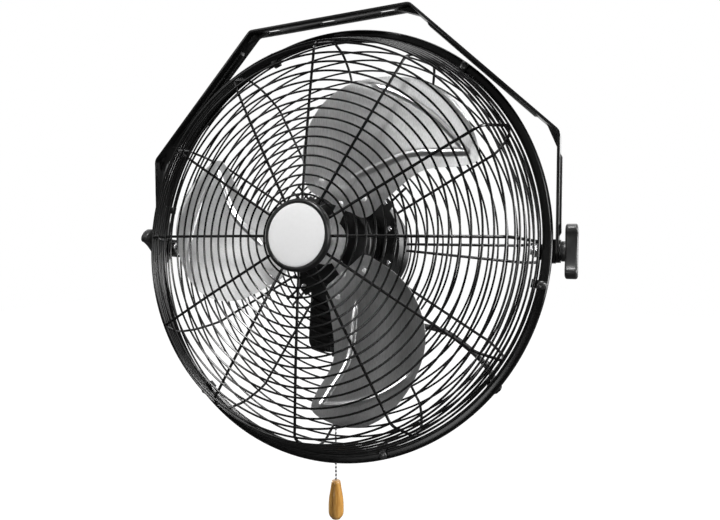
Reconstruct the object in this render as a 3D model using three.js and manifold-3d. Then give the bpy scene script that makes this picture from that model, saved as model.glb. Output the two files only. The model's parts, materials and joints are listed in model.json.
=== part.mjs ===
// Wall mounted fan: an 18 inch pressed-blade fan in a welded wire cage, hung in a bent strip yoke.
//
// Units are millimetres. The part's origin is the middle of the yoke bar's top face, +Z up, and
// the fan blows toward -Y. The head is modelled in a frame of its own, the cage frame: X to the
// right, Y toward the back along the fan's axis, Z up, with its origin on the axis in the plane of
// the guard ring's front face.
//
// The most skilled pieces are the two welded wire guards, each one closed solid with every opening
// of the real grille, and the three pressed blades with their twist and stiffening beads.
import * as THREE from 'three';
import { mergeVertices } from 'three/addons/utils/BufferGeometryUtils.js';
import Module from 'manifold-3d';

const wasm = await Module();
wasm.setup();

// ---------------------------------------------------------------- driving dimensions
const GAP = 0.3;                    // clearance between two seated pieces

// yoke: one bent strip with pressed ribs
const STRIP_WIDTH = 25;
const STRIP_THICK = 3;
const BEND_RADIUS = 7;
const BAR_CLEARANCE = 5;            // between the bar's underside and the guard ring
const OBLIQUE_CLEARANCE = 6.4;      // between the obliques' outer face and the guard ring
const ARM_CLEARANCE = 2.4;          // between each arm and the guard ring
const BAR_HALF = 110;               // half the length of the bar over its corners
const SLOT_LENGTH = 22;
const SLOT_WIDTH = 8.5;
const SLOT_SPACING = 79;
const RIB_WIDTH = 8;
const RIB_HEIGHT = 2.2;
const GUSSET_LEG = 9;
const GUSSET_WIDTH = 6;
const ARM_RIB = [0.2, 0.84];        // where each arm's rib starts and ends along its straight
const OBLIQUE_RIB = [0.12, 0.88];

// head: how the cage sits on the tilt axis
const REST_TILT = 0.1148;           // radians that the head faces up at rest
const PIVOT_BACK = 15.5;            // tilt axis behind the guard ring's front face
const PIVOT_BELOW = 8.5;            // tilt axis below the fan's axis

// guard ring
const RING_RADIUS = 270;
const RING_WIDTH = 11;
const RING_DEPTH = 9;
const RING_ROUND = 2.6;
const RING_SIDES = 48;

// wire guards
const SPOKES = 12;
const WIRE_WIDTH = 3.2;
const SPOKE_WIDTH = 3.8;
const WIRE_HEIGHT = 3.4;
const FRONT_FIRST = 37.1;           // smallest ring of the front guard, under the badge
const FRONT_DEPTH = 61;             // front guard's face ahead of the ring
const FRONT_CROWN = 10;             // how much the face falls back by its shoulder
const FRONT_COUNT = 18;             // rings on the front face
const FRONT_SHOULDER = 26.6;        // width of the rounded edge, from the last face ring to the rim
const SIDE_COUNT = 6;               // rings down the front guard's steep side
const REAR_FIRST = 113.4;
const REAR_DEPTH = 60.4;            // rear guard's face behind the ring
const REAR_COUNT = 11;
const REAR_SHOULDER = 29.4;
const EYE_OVERLAP = 3;              // how far the rear guard's smallest ring lies inside the ears' reach
const PAIR_HIGH = 2.5;              // split side spokes of the rear guard, above the axis
const PAIR_LOW = -5.5;              // and below it, where they start
const PAIR_HIGH_RIM = 1.5;          // and the same two where they reach the rim
const PAIR_LOW_RIM = -20.5;
const BRACE_SPREAD = 3;             // degrees either side of each diagonal for the short braces

// guard clips
const CLIP_COUNT = 6;
const CLIP_START = -10;             // degrees, first clip from the right, turning upward
const CLIP_SHEET = 1.2;
const CLIP_WIDTH = 12;
const CLIP_REACH = 5.2;             // how far a clip reaches inside the rims
const CLIP_INSET = 2;               // from the ring's outside to the clip's end

// badge at the middle of the front guard
const BEZEL_RADIUS = 42;
const DISC_RADIUS = 36.5;
const BADGE_DEPTH = 8;
const BADGE_SEAT = 4;               // depth of the bezel's floor behind the disc
const DISC_DOME = 1.7;              // how far the disc's middle stands out beyond its edge

// rotor
const BLADES = 3;
const BLADE_START = 65;             // degrees of the first blade's arm
const BLADE_ROOT = 47;              // radius where the blade starts
const TIP_CLEARANCE = 27.8;         // from the blade's tip to the guards' rim
const BLADE_RISE = 12;              // how far the leading edge lies behind the arms
const BLADE_DIP = 30;               // how far the trailing edge lies ahead of them
const BLADE_SHEET = 1.4;
const BEAD_HEIGHT = 2.6;
const SPIDER_SHEET = 2;
const SPIDER_WAIST = 29;
const SPIDER_ROWS = 4;              // rows of the blade's own grid that an arm backs
const COLLAR_RADIUS = 15;
const SHAFT_RADIUS = 6;
const SHAFT_NUT_ACROSS = 19;
const SHAFT_NUT_HEIGHT = 7;
const SHAFT_THREAD = 5;             // thread that shows beyond the shaft nut
const RUNNING_GAP = 1.2;            // between the collar and the motor

// motor
const FRONT_BELL_RADIUS = 54;
const REAR_BELL_RADIUS = 74;
const BELL_WALL = 2.5;
const BELL_ROUND = 6;
const BELL_SIDES = 24;
const FRONT_BELL_START = 20;
const PLATE_START = 56.3;           // front face of the mounting plate
const PLATE_SHEET = 2.6;
const PLATE_RADIUS = 79.5;
const EAR_REACH = 88;
const REAR_BELL_END = 122;
const BEARING_RADIUS = 13;
const BEARING_WIDTH = 9;
const STATOR_START = 72;
const STATOR_LENGTH = 28;
const STATOR_WIDTH = 24.8;          // from the stator's bore to its outside
const AIR_GAP = 0.8;                // between the rotor core and the stator
const WINDING_REACH = 8;            // how far each end winding stands out of the stator

// switch box under the motor
const BOX_LEFT = -52;
const BOX_RIGHT = 48;
const BOX_BOTTOM = -145;
const BOX_TOP = -66;
const BOX_FRONT = 68;
const BOX_BACK = 108;
const BOX_WALL = 2.5;
const BOX_CORNER = 16;
const COVER_SHEET = 2;
const SWITCH_HALF = 12;             // half the pull switch's width
const SWITCH_HEIGHT = 22;

// pull chain
const PULL_X = -21;
const PULL_BACK = 92;
const NOZZLE_LENGTH = 8;
const NOZZLE_RADIUS = 5.5;
const STEM_RADIUS = 2.3;
const STEM_SHOWING = 2;             // stem that shows below the nozzle
const STEM_INSIDE = 14;             // and how far it reaches into the pull switch
const CHAIN_GAP = 0.5;              // room for the first link to swing under the stem
const CHAIN_LENGTH = 176;
const BEAD_PITCH = 5.5;
const BEAD_RADIUS = 1.6;
const LINK_RADIUS = 0.6;
const HANDLE_LENGTH = 55;
const HANDLE_RADIUS = 10;
const HANDLE_TOP_RADIUS = 5.3;

// tilt pivots and knobs
const BOLT_RADIUS = 4;
const BOLT_HOLE = BOLT_RADIUS + GAP;
const NUT_ACROSS = 13;
const NUT_HEIGHT = 6;
const NUT_THREAD = 2;               // bolt that shows beyond the nut
const PLATE_OVERHANG = 5;           // how far each pivot plate stands in from the ring's bore
const PLATE_DEPTH = 16.4;
const PLATE_ROOM = 1;               // between a pivot plate and the spokes above and below it
const BLOCK_DEPTH = 19;
const BLOCK_HEIGHT = 25;
const WASHER_RADIUS = 12.5;
const WASHER_THICK = 1.6;
const BOSS_RADIUS = 11;
const BOSS_LENGTH = 4;
const KNOB_LENGTH = 59;
const KNOB_THICK = 13;
const KNOB_END = 24;
const KNOB_WAIST = 15;
const KNOB_FLOOR = 4;               // closed end of the knob's bore
const LEFT_KNOB_TURN = Math.PI / 4;

// motor lead
const LEAD_RADIUS = 3.5;
const LEAD_ANGLE = -37;             // degrees round the ring where the lead is anchored
const GLAND_RADIUS = 7;
const GLAND_LENGTH = 9;
const RELIEF_RADIUS = 7.5;
const RELIEF_LENGTH = 13;
const LEAD_CLEARANCE = 0.7;
const LEAD_EXIT = { z: -104, y: 88 };

// sizes that follow from those above
const RING_BORE = RING_RADIUS - RING_WIDTH;
const RIM_RADIUS = RING_BORE - WIRE_WIDTH;
const TIP_RADIUS = RIM_RADIUS - TIP_CLEARANCE;
const PIVOT_DROP = RING_RADIUS + PIVOT_BELOW + BAR_CLEARANCE + STRIP_THICK;
const ARM_INSIDE = RING_RADIUS + ARM_CLEARANCE;
const ARM_OUTSIDE = ARM_INSIDE + STRIP_THICK;

// ---------------------------------------------------------------- finishes
const finish = (color, roughness, metalness) => ({ color, roughness, metalness });
const BLACK_ENAMEL = finish(0x101113, 0.34, 0.25);
const BLACK_PAINT = finish(0x17181a, 0.5, 0.2);
const ALUMINIUM = finish(0xaeb0b3, 0.36, 0.85);
const ZINC = finish(0xb9bcc0, 0.3, 0.9);
const STEEL = finish(0x8c9096, 0.32, 0.95);
const COPPER = finish(0x9a5a33, 0.45, 0.8);
const WHITE = finish(0xf2f2ef, 0.4, 0.0);
const BLACK_PLASTIC = finish(0x1b1b1d, 0.45, 0.0);
const OAK = finish(0xb8782e, 0.38, 0.0);

// ---------------------------------------------------------------- groups
const fan = new THREE.Group();
const head = new THREE.Group();
head.position.set(0, 0, -PIVOT_DROP);
head.rotation.x = -REST_TILT;
const cage = new THREE.Group();
cage.position.set(0, -PIVOT_BACK, PIVOT_BELOW);
head.add(cage);
fan.add(head);

// ---------------------------------------------------------------- helpers
const degrees = THREE.MathUtils.degToRad;

function addPart(parent, name, geometry, look) {
  const mesh = new THREE.Mesh(geometry, new THREE.MeshStandardMaterial(look));
  mesh.name = name;
  parent.add(mesh);
  return mesh;
}

function toSolid(geometry) {
  const bare = geometry.index ? geometry.toNonIndexed() : geometry.clone();
  bare.deleteAttribute('normal');
  bare.deleteAttribute('uv');
  const merged = mergeVertices(bare, 1e-4);
  const vertProperties = new Float32Array(merged.attributes.position.array);
  const triVerts = new Uint32Array(merged.index.array);
  return new wasm.Manifold(new wasm.Mesh({ numProp: 3, vertProperties, triVerts }));
}

function toGeometry(solid) {
  const mesh = solid.getMesh();
  const geometry = new THREE.BufferGeometry();
  geometry.setAttribute('position', new THREE.BufferAttribute(mesh.vertProperties, 3));
  geometry.setIndex(new THREE.BufferAttribute(mesh.triVerts, 1));
  return geometry;
}

const cut = (body, ...tools) => toGeometry(
  tools.reduce((rest, tool) => rest.subtract(toSolid(tool)), toSolid(body)));
const join = (body, ...others) => toGeometry(
  others.reduce((sum, other) => sum.add(toSolid(other)), toSolid(body)));

// A solid of revolution about the Y axis from a closed profile of [radius, y] points.
function revolve(profile, sides) {
  const points = profile.map(([radius, y]) => new THREE.Vector2(radius, y));
  if (THREE.ShapeUtils.area(points) < 0) points.reverse();
  if (profile.every(([radius]) => radius > 0)) points.push(points[0].clone());
  else {
    const start = points.findIndex((point, i) => point.x === 0
      && points[(i + 1) % points.length].x > 0);
    points.push(...points.splice(0, start));
  }
  return new THREE.LatheGeometry(points, sides);
}

// The same, set along X or along Z.
const revolveX = (profile, sides) => revolve(profile, sides).rotateZ(-Math.PI / 2);
const revolveZ = (profile, sides) => revolve(profile, sides).rotateX(Math.PI / 2);
const tube = (inner, outer, start, end) => [[inner, start], [outer, start], [outer, end], [inner, end]];
const rod = (radius, start, end) => [[0, start], [radius, start], [radius, end], [0, end]];

function box(x0, x1, y0, y1, z0, z1) {
  return new THREE.BoxGeometry(x1 - x0, y1 - y0, z1 - z0)
    .translate((x0 + x1) / 2, (y0 + y1) / 2, (z0 + z1) / 2);
}

// A flat outline drawn in X and Z, thickened from y0 to y1.
function plate(shape, y0, y1, curveSegments = 6) {
  return new THREE.ExtrudeGeometry(shape, { depth: y1 - y0, bevelEnabled: false, curveSegments })
    .rotateX(Math.PI / 2).translate(0, y1, 0);
}

const polar = (radius, angle, y) => new THREE.Vector3(
  radius * Math.cos(angle), y, radius * Math.sin(angle));

// ---------------------------------------------------------------- yoke bracket
// One corner-rounded outline of the strip, on its outer or inner side.
function bentPath(corners, radius) {
  const path = [corners[0].clone()];
  for (let i = 1; i < corners.length - 1; i += 1) {
    const back = corners[i - 1].clone().sub(corners[i]).normalize();
    const on = corners[i + 1].clone().sub(corners[i]).normalize();
    const half = Math.acos(back.dot(on)) / 2;
    const reach = radius / Math.tan(half);
    const centre = back.clone().add(on).normalize().multiplyScalar(radius / Math.sin(half)).add(corners[i]);
    const from = back.multiplyScalar(reach).add(corners[i]).sub(centre);
    const to = on.multiplyScalar(reach).add(corners[i]).sub(centre);
    const sweep = Math.atan2(from.cross(to), from.dot(to));
    const steps = 3;
    for (let k = 0; k <= steps; k += 1) {
      path.push(from.clone().rotateAround(new THREE.Vector2(), sweep * k / steps).add(centre));
    }
  }
  path.push(corners[corners.length - 1].clone());
  return path;
}

// The obliques run past the ring at their clearance: each is a tangent through the bar's corner.
function shoulderHeight() {
  const ringCentre = PIVOT_BELOW - PIVOT_DROP;
  const corner = new THREE.Vector2(BAR_HALF, -ringCentre);
  const reach = RING_RADIUS + OBLIQUE_CLEARANCE;
  const slant = corner.angle() - Math.acos(reach / corner.length());
  return ringCentre + (reach - ARM_OUTSIDE * Math.cos(slant)) / Math.sin(slant);
}

const ARM_END = -PIVOT_DROP - STRIP_WIDTH / 2;
const SHOULDER_Z = shoulderHeight();
const yokeCorners = [[-ARM_OUTSIDE, ARM_END], [-ARM_OUTSIDE, SHOULDER_Z], [-BAR_HALF, 0],
  [BAR_HALF, 0], [ARM_OUTSIDE, SHOULDER_Z], [ARM_OUTSIDE, ARM_END]]
  .map(([x, z]) => new THREE.Vector2(x, z));

// The strip's inner side: each straight moved inward by the sheet's thickness, then crossed again.
function offsetCorners(corners, distance) {
  return corners.map((corner, i) => {
    const before = corners[i - 1] ?? corner.clone().multiplyScalar(2).sub(corners[i + 1]);
    const after = corners[i + 1] ?? corner.clone().multiplyScalar(2).sub(corners[i - 1]);
    const a = corner.clone().sub(before).normalize();
    const b = after.clone().sub(corner).normalize();
    const normal = new THREE.Vector2(a.y + b.y, -a.x - b.x).normalize();
    return corner.clone().addScaledVector(normal, distance / normal.dot(new THREE.Vector2(a.y, -a.x)));
  });
}

// A pressed stiffening rib: a long low trapezoid on one face of the strip.
function stripRib(from, to, side, start, end) {
  const along = to.clone().sub(from);
  const length = along.length();
  along.normalize();
  const up = new THREE.Vector2(along.y, -along.x).multiplyScalar(side);
  const corner = (s, h) => from.clone().addScaledVector(along, s * length).addScaledVector(up, h);
  const slope = 2 * RIB_HEIGHT / length;
  const outline = [corner(start, -GAP), corner(end, -GAP),
    corner(end - slope, RIB_HEIGHT), corner(start + slope, RIB_HEIGHT)];
  return plate(new THREE.Shape(outline), -RIB_WIDTH / 2, RIB_WIDTH / 2);
}

function yokeBracket() {
  const innerCorners = offsetCorners(yokeCorners, STRIP_THICK);
  const outer = bentPath(yokeCorners, BEND_RADIUS + STRIP_THICK);
  const inner = bentPath(innerCorners, BEND_RADIUS).reverse();
  let solid = toSolid(plate(new THREE.Shape([...outer, ...inner]), -STRIP_WIDTH / 2, STRIP_WIDTH / 2));
  for (const side of [-1, 1]) {
    const face = (i) => (side < 0 ? i : 5 - i);
    const ribs = [
      stripRib(yokeCorners[face(0)], yokeCorners[face(1)], side, ...ARM_RIB),
      stripRib(innerCorners[face(1)], innerCorners[face(2)], -side, ...OBLIQUE_RIB),
    ];
    for (const rib of ribs) solid = solid.add(toSolid(rib));
    for (const i of [1, 2]) {
      const at = innerCorners[face(i)];
      const toward = (other) => innerCorners[face(other)].clone().sub(at).normalize()
        .multiplyScalar(GUSSET_LEG + BEND_RADIUS).add(at);
      const away = at.clone().multiplyScalar(2).sub(toward(i - 1).add(toward(i + 1)).multiplyScalar(0.5))
        .sub(at).normalize().multiplyScalar(STRIP_THICK / 2).add(at);
      const gusset = new THREE.Shape([away, toward(i - 1), toward(i + 1)]);
      solid = solid.add(toSolid(plate(gusset, -GUSSET_WIDTH / 2, GUSSET_WIDTH / 2)));
    }
    // the rounded end of the arm and its bolt hole
    const end = new THREE.Shape();
    const r = STRIP_WIDTH / 2;
    end.moveTo(-r - 1, -r - 1).lineTo(r + 1, -r - 1).lineTo(r + 1, 0).lineTo(r, 0);
    end.absarc(0, 0, r, 0, -Math.PI, true);
    end.lineTo(-r - 1, 0);
    const deep = 8 * STRIP_THICK;
    const corner = new THREE.ExtrudeGeometry(end, { depth: deep, bevelEnabled: false, curveSegments: 5 })
      .rotateX(Math.PI / 2).rotateZ(Math.PI / 2).translate(side * ARM_INSIDE - deep / 2, 0, -PIVOT_DROP);
    solid = solid.subtract(toSolid(corner));
    const hole = revolveX(rod(BOLT_HOLE, -deep / 2, deep / 2), 12)
      .translate(side * ARM_INSIDE, 0, -PIVOT_DROP);
    solid = solid.subtract(toSolid(hole));
  }
  for (const x of [-SLOT_SPACING, 0, SLOT_SPACING]) {
    const slot = new THREE.Shape();
    const r = SLOT_WIDTH / 2;
    const straight = SLOT_LENGTH / 2 - r;
    slot.absarc(straight, 0, r, -Math.PI / 2, Math.PI / 2, false);
    slot.absarc(-straight, 0, r, Math.PI / 2, 3 * Math.PI / 2, false);
    const settings = { depth: 3 * STRIP_THICK, bevelEnabled: false, curveSegments: 4 };
    const tool = new THREE.ExtrudeGeometry(slot, settings).translate(x, 0, -2 * STRIP_THICK);
    solid = solid.subtract(toSolid(tool));
  }
  return toGeometry(solid);
}
addPart(fan, 'yoke_bracket', yokeBracket(), BLACK_PAINT);

// ---------------------------------------------------------------- welded wire guards
// A guard is a net of welded wires: rings crossed by spokes. Each wire has a roof section, flat
// toward the inside of the cage and ridged toward the outside. stations lists each ring's [radius,
// y, arcs between two spokes]; spokes lists each spoke's angle at a station and the stations that
// it runs between. facing is -1 for a net bulging to the front and 1 for one bulging to the back.
function wireGuard(stations, spokes, facing) {
  const positions = [];
  const triangles = [];
  const vertex = (point) => positions.push(point.x, point.y, point.z) / 3 - 1;
  const face = (...corners) => {
    for (let i = 1; i < corners.length - 1; i += 1) {
      const last = [corners[i], corners[i + 1]];
      triangles.push(corners[0], ...(facing < 0 ? last : last.reverse()));
    }
  };
  // the profile's direction and outward normal at each station
  const frames = stations.map(([radius, y], k) => {
    const before = stations[Math.max(k - 1, 0)];
    const after = stations[Math.min(k + 1, stations.length - 1)];
    const along = new THREE.Vector2(after[0] - before[0], after[1] - before[1]).normalize();
    const normal = new THREE.Vector2(-along.y * facing, along.x * facing);
    return { middle: new THREE.Vector2(radius, y), along, normal };
  });
  const place = ({ middle, along, normal }, angle, across, sideways, height) => {
    const spot = middle.clone().addScaledVector(along, across).addScaledVector(normal, height);
    const point = polar(spot.x, angle, spot.y);
    const aside = new THREE.Vector3(-Math.sin(angle), 0, Math.cos(angle));
    return vertex(point.addScaledVector(aside, sideways));
  };
  const base = -WIRE_HEIGHT / 3;
  const ridge = WIRE_HEIGHT * 2 / 3;
  const crossing = (frame, angle) => {
    const corner = (across, sideways) => place(
      frame, angle, across * WIRE_WIDTH / 2, sideways * SPOKE_WIDTH / 2, base);
    const post = { inL: corner(-1, -1), inR: corner(-1, 1), outL: corner(1, -1), outR: corner(1, 1) };
    post.top = place(frame, angle, 0, 0, ridge);
    face(post.inL, post.inR, post.outR, post.outL);
    return post;
  };
  const between = (frame, angle) => {
    const inner = place(frame, angle, -WIRE_WIDTH / 2, 0, base);
    const outer = place(frame, angle, WIRE_WIDTH / 2, 0, base);
    return { inL: inner, inR: inner, outL: outer, outR: outer, top: place(frame, angle, 0, 0, ridge) };
  };
  const arc = (p, q) => {
    face(p.inR, p.top, q.top, q.inL);
    face(p.outR, q.outL, q.top, p.top);
    face(p.inR, q.inL, q.outL, p.outR);
  };
  let previous = new Map();
  stations.forEach(([radius, , arcs], k) => {
    const frame = frames[k];
    const here = spokes.map((spoke, i) => ({ i, angle: spoke.angle(radius), spoke }))
      .filter(({ spoke }) => k >= spoke.first && k <= spoke.last);
    here.sort((a, b) => a.angle - b.angle);
    const current = new Map(here.map(({ i, angle }) => [i, crossing(frame, angle)]));
    here.forEach(({ i, angle }, n) => {
      const next = here[(n + 1) % here.length];
      const span = (next.angle - angle + 2 * Math.PI) % (2 * Math.PI);
      let post = current.get(i);
      const steps = span > Math.PI / SPOKES ? arcs : 1;
      for (let step = 1; step < steps; step += 1) {
        const extra = between(frame, angle + span * step / steps);
        arc(post, extra);
        post = extra;
      }
      arc(post, current.get(next.i));
      const q = current.get(i);
      const p = previous.get(i);
      if (p) {
        face(p.outL, q.inL, q.top, p.top);
        face(p.outR, p.top, q.top, q.inR);
        face(p.outL, p.outR, q.inR, q.inL);
      } else face(q.inL, q.top, q.inR);
    });
    for (const [i, post] of previous) {
      if (!current.has(i)) face(post.outL, post.outR, post.top);
    }
    previous = current;
  });
  for (const post of previous.values()) face(post.outL, post.outR, post.top);
  const geometry = new THREE.BufferGeometry();
  geometry.setAttribute('position', new THREE.Float32BufferAttribute(positions, 3));
  geometry.setIndex(triangles);
  return geometry;
}

const evenSpokes = (last) => Array.from({ length: SPOKES }, (_, i) => (
  { angle: () => i * 2 * Math.PI / SPOKES, first: 0, last }));

function frontGuard() {
  const stations = [];
  const faceEnd = RIM_RADIUS - FRONT_SHOULDER;
  for (let k = 0; k < FRONT_COUNT; k += 1) {
    const radius = THREE.MathUtils.lerp(FRONT_FIRST, faceEnd, k / (FRONT_COUNT - 1));
    const fall = FRONT_CROWN * (radius / faceEnd) ** 2.2;
    stations.push([radius, fall - FRONT_DEPTH, radius < faceEnd / 2 ? 1 : 2]);
  }
  // the steep side from the shoulder down to the ring
  const shoulder = new THREE.Vector2(faceEnd + 0.28 * FRONT_SHOULDER, -0.72 * FRONT_DEPTH);
  const foot = new THREE.Vector2(RIM_RADIUS - GAP, -0.1 * FRONT_DEPTH);
  for (let k = 0; k < SIDE_COUNT; k += 1) {
    stations.push([...shoulder.clone().lerp(foot, k / (SIDE_COUNT - 1)), 2]);
  }
  stations.push([RIM_RADIUS, WIRE_WIDTH / 2 + GAP, 2]);
  return wireGuard(stations, evenSpokes(stations.length - 1), -1);
}
addPart(cage, 'front_guard', frontGuard(), BLACK_ENAMEL);

function rearGuard() {
  const stations = [];
  const eye = EAR_REACH - EYE_OVERLAP;
  for (let k = 0; k < 3; k += 1) {
    stations.push([THREE.MathUtils.lerp(eye, REAR_FIRST, k / 3), REAR_DEPTH, 1]);
  }
  const faceEnd = RIM_RADIUS - REAR_SHOULDER;
  for (let k = 0; k < REAR_COUNT; k += 1) {
    const radius = THREE.MathUtils.lerp(REAR_FIRST, faceEnd, k / (REAR_COUNT - 1));
    stations.push([radius, REAR_DEPTH, radius < 0.57 * faceEnd ? 1 : 2]);
  }
  // the rounded edge: shares of the shoulder's width still to go and of the guard's depth
  for (const [toGo, deep] of [[0.64, 0.86], [0.33, 0.66], [0.12, 0.47]]) {
    stations.push([RIM_RADIUS - toGo * REAR_SHOULDER, deep * REAR_DEPTH, 2]);
  }
  stations.push([RIM_RADIUS, RING_DEPTH - WIRE_WIDTH / 2 - GAP, 2]);
  const last = stations.length - 1;
  const spokes = evenSpokes(last).filter((spoke, i) => i % (SPOKES / 2) !== 0);
  // the two spokes that straddle each tilt pivot
  const lean = (start, end) => (radius) => Math.asin(
    THREE.MathUtils.mapLinear(radius, stations[0][0], RIM_RADIUS, start, end) / radius);
  for (const drop of [lean(PAIR_HIGH, PAIR_HIGH_RIM), lean(PAIR_LOW, PAIR_LOW_RIM)]) {
    spokes.push({ angle: drop, first: 0, last });
    spokes.push({ angle: (radius) => Math.PI - drop(radius), first: 0, last });
  }
  // short braces either side of each motor screw
  for (const diagonal of [45, 135, 225, 315]) {
    for (const side of [-1, 1]) {
      const angle = degrees(diagonal + side * BRACE_SPREAD);
      spokes.push({ angle: () => angle, first: 0, last: 3 });
    }
  }
  return wireGuard(stations, spokes, 1);
}
addPart(cage, 'rear_guard', rearGuard(), BLACK_ENAMEL);

// ---------------------------------------------------------------- guard ring and clips
const ringProfile = [
  [RING_BORE + RING_ROUND, 0], [RING_RADIUS - RING_ROUND, 0], [RING_RADIUS, RING_ROUND],
  [RING_RADIUS, RING_DEPTH - RING_ROUND], [RING_RADIUS - RING_ROUND, RING_DEPTH],
  [RING_BORE + RING_ROUND, RING_DEPTH], [RING_BORE, RING_DEPTH - RING_ROUND], [RING_BORE, RING_ROUND],
];
addPart(cage, 'guard_ring', revolve(ringProfile, RING_SIDES), BLACK_ENAMEL);

// A clip hooks round both guard rims and is screwed to the front of the ring.
function guardClip() {
  const inside = RIM_RADIUS - CLIP_REACH;
  const front = -GAP - CLIP_SHEET;
  const back = RING_DEPTH + GAP;
  const outline = [[inside, front], [RING_RADIUS - CLIP_INSET, front], [RING_RADIUS - CLIP_INSET, -GAP],
    [inside + CLIP_SHEET, -GAP], [inside + CLIP_SHEET, back], [RIM_RADIUS + 1, back],
    [RIM_RADIUS + 1, back + CLIP_SHEET], [inside, back + CLIP_SHEET]];
  const shape = new THREE.Shape(outline.map(([x, y]) => new THREE.Vector2(x, y)));
  return new THREE.ExtrudeGeometry(shape, { depth: CLIP_WIDTH, bevelEnabled: false })
    .translate(0, 0, -CLIP_WIDTH / 2);
}
for (let i = 0; i < CLIP_COUNT; i += 1) {
  const clip = addPart(cage, `guard_clip_${i + 1}`, guardClip(), BLACK_PAINT);
  clip.rotation.y = -degrees(CLIP_START + i * 360 / CLIP_COUNT);
}

// ---------------------------------------------------------------- badge
const BADGE_BACK = -FRONT_DEPTH - WIRE_HEIGHT * 2 / 3 - GAP;
const BADGE_FRONT = BADGE_BACK - BADGE_DEPTH;
addPart(cage, 'hub_bezel', revolve([[DISC_RADIUS + GAP, BADGE_BACK - BADGE_SEAT],
  [DISC_RADIUS + GAP, BADGE_FRONT], [BEZEL_RADIUS - 2, BADGE_FRONT], [BEZEL_RADIUS, BADGE_FRONT + 2.5],
  [BEZEL_RADIUS, BADGE_BACK], [FRONT_FIRST - BADGE_SEAT, BADGE_BACK],
  [FRONT_FIRST - BADGE_SEAT, BADGE_BACK - BADGE_SEAT]], 32), BLACK_PLASTIC);
const DISC_BACK = BADGE_BACK - BADGE_SEAT - GAP;
const DISC_EDGE = BADGE_FRONT + 1.2;
addPart(cage, 'hub_disc', revolve([[0, DISC_BACK], [DISC_RADIUS, DISC_BACK], [DISC_RADIUS, DISC_EDGE],
  [0.7 * DISC_RADIUS, DISC_EDGE - 0.7 * DISC_DOME], [0, DISC_EDGE - DISC_DOME]], 32), WHITE);

// ---------------------------------------------------------------- rotor
// A pressed blade lies between two edge curves, given as [share of the way from root to tip,
// degrees from its arm, share of its rise or dip]. The leading edge is at the back and the trailing
// edge at the front, so the sheet is twisted between them.
const leadingEdge = [[0, -12, 0.25], [0.055, -33, 0.75], [0.238, -30, 1], [0.536, -29, 1],
  [0.79, -37, 0.92], [0.912, -37.5, 0.67], [0.967, -30, 0.08], [0.997, -21, -0.5]];
const trailingEdge = [[0, 12, 0.1], [0.083, 38, 0.5], [0.227, 38, 0.87], [0.514, 30, 1],
  [0.746, 17, 0.93], [0.873, 4, 0.8], [0.967, -9, 0.6], [1, -17, 0.33]];
const BEAD_COLUMN = 2;              // grid line that carries the long bead
const BEAD_START = 5;               // grid row where it starts
const BEAD_ROW = 11;                // grid row that carries the tip bead
const BLADE_ROWS = 14;
const bladeLine = (edge, depth) => new THREE.CatmullRomCurve3(edge.map(([out, angle, share]) => (
  new THREE.Vector3(THREE.MathUtils.lerp(BLADE_ROOT, TIP_RADIUS, out), angle, share * depth))));
const bladeLines = [bladeLine(leadingEdge, BLADE_RISE), bladeLine(trailingEdge, -BLADE_DIP)];

// A place on the blade: t runs from the root to the tip and u from leading to trailing edge.
function bladeSpot(t, u) {
  return bladeLines[0].getPoint(t).lerp(bladeLines[1].getPoint(t), u);
}

// A thin sheet through rows of [radius, degrees, y] spots, thickened along Y.
function sheetLoft(rows, front, back) {
  const positions = [];
  const triangles = [];
  const columns = rows[0].length;
  for (const depth of [back, front]) {
    for (const spot of rows.flat()) {
      positions.push(...polar(spot.x, degrees(spot.y), spot.z + depth).toArray());
    }
  }
  const index = (side, row, column) => (side * rows.length + row) * columns + column;
  const quad = (a, b, c, d) => triangles.push(a, b, c, a, c, d);
  const lastRow = rows.length - 1;
  const lastColumn = columns - 1;
  for (let i = 0; i < lastRow; i += 1) {
    for (let j = 0; j < lastColumn; j += 1) {
      quad(index(0, i, j), index(0, i, j + 1), index(0, i + 1, j + 1), index(0, i + 1, j));
      quad(index(1, i, j), index(1, i + 1, j), index(1, i + 1, j + 1), index(1, i, j + 1));
    }
    quad(index(0, i, 0), index(0, i + 1, 0), index(1, i + 1, 0), index(1, i, 0));
    quad(index(1, i, lastColumn), index(1, i + 1, lastColumn), index(0, i + 1, lastColumn),
      index(0, i, lastColumn));
  }
  for (let j = 0; j < lastColumn; j += 1) {
    quad(index(0, 0, j), index(1, 0, j), index(1, 0, j + 1), index(0, 0, j + 1));
    quad(index(1, lastRow, j), index(0, lastRow, j), index(0, lastRow, j + 1), index(1, lastRow, j + 1));
  }
  const geometry = new THREE.BufferGeometry();
  geometry.setAttribute('position', new THREE.Float32BufferAttribute(positions, 3));
  geometry.setIndex(triangles);
  return geometry;
}

function pressedBlade() {
  const rows = [];
  for (let row = 0; row <= BLADE_ROWS; row += 1) {
    const t = row / BLADE_ROWS;
    const crest = THREE.MathUtils.clamp(0.44 - 0.4 * (t - 0.3), 0.16, 0.44);
    const columns = [0, crest - 0.07, crest, crest + 0.07, 0.6, 0.8, 1];
    rows.push(columns.map((u, column) => {
      const spot = bladeSpot(t, u);
      const onLongBead = column === BEAD_COLUMN && row >= BEAD_START && row < BEAD_ROW;
      const onTipBead = row === BEAD_ROW && column > 0 && column < columns.length - 1;
      if (onLongBead || onTipBead) spot.z -= BEAD_HEIGHT;
      return spot;
    }));
  }
  return sheetLoft(rows, -BLADE_SHEET / 2, BLADE_SHEET / 2);
}
for (let i = 0; i < BLADES; i += 1) {
  const blade = addPart(cage, `blade_${i + 1}`, pressedBlade(), ALUMINIUM);
  blade.rotation.y = -degrees(BLADE_START + i * 360 / BLADES);
}

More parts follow.
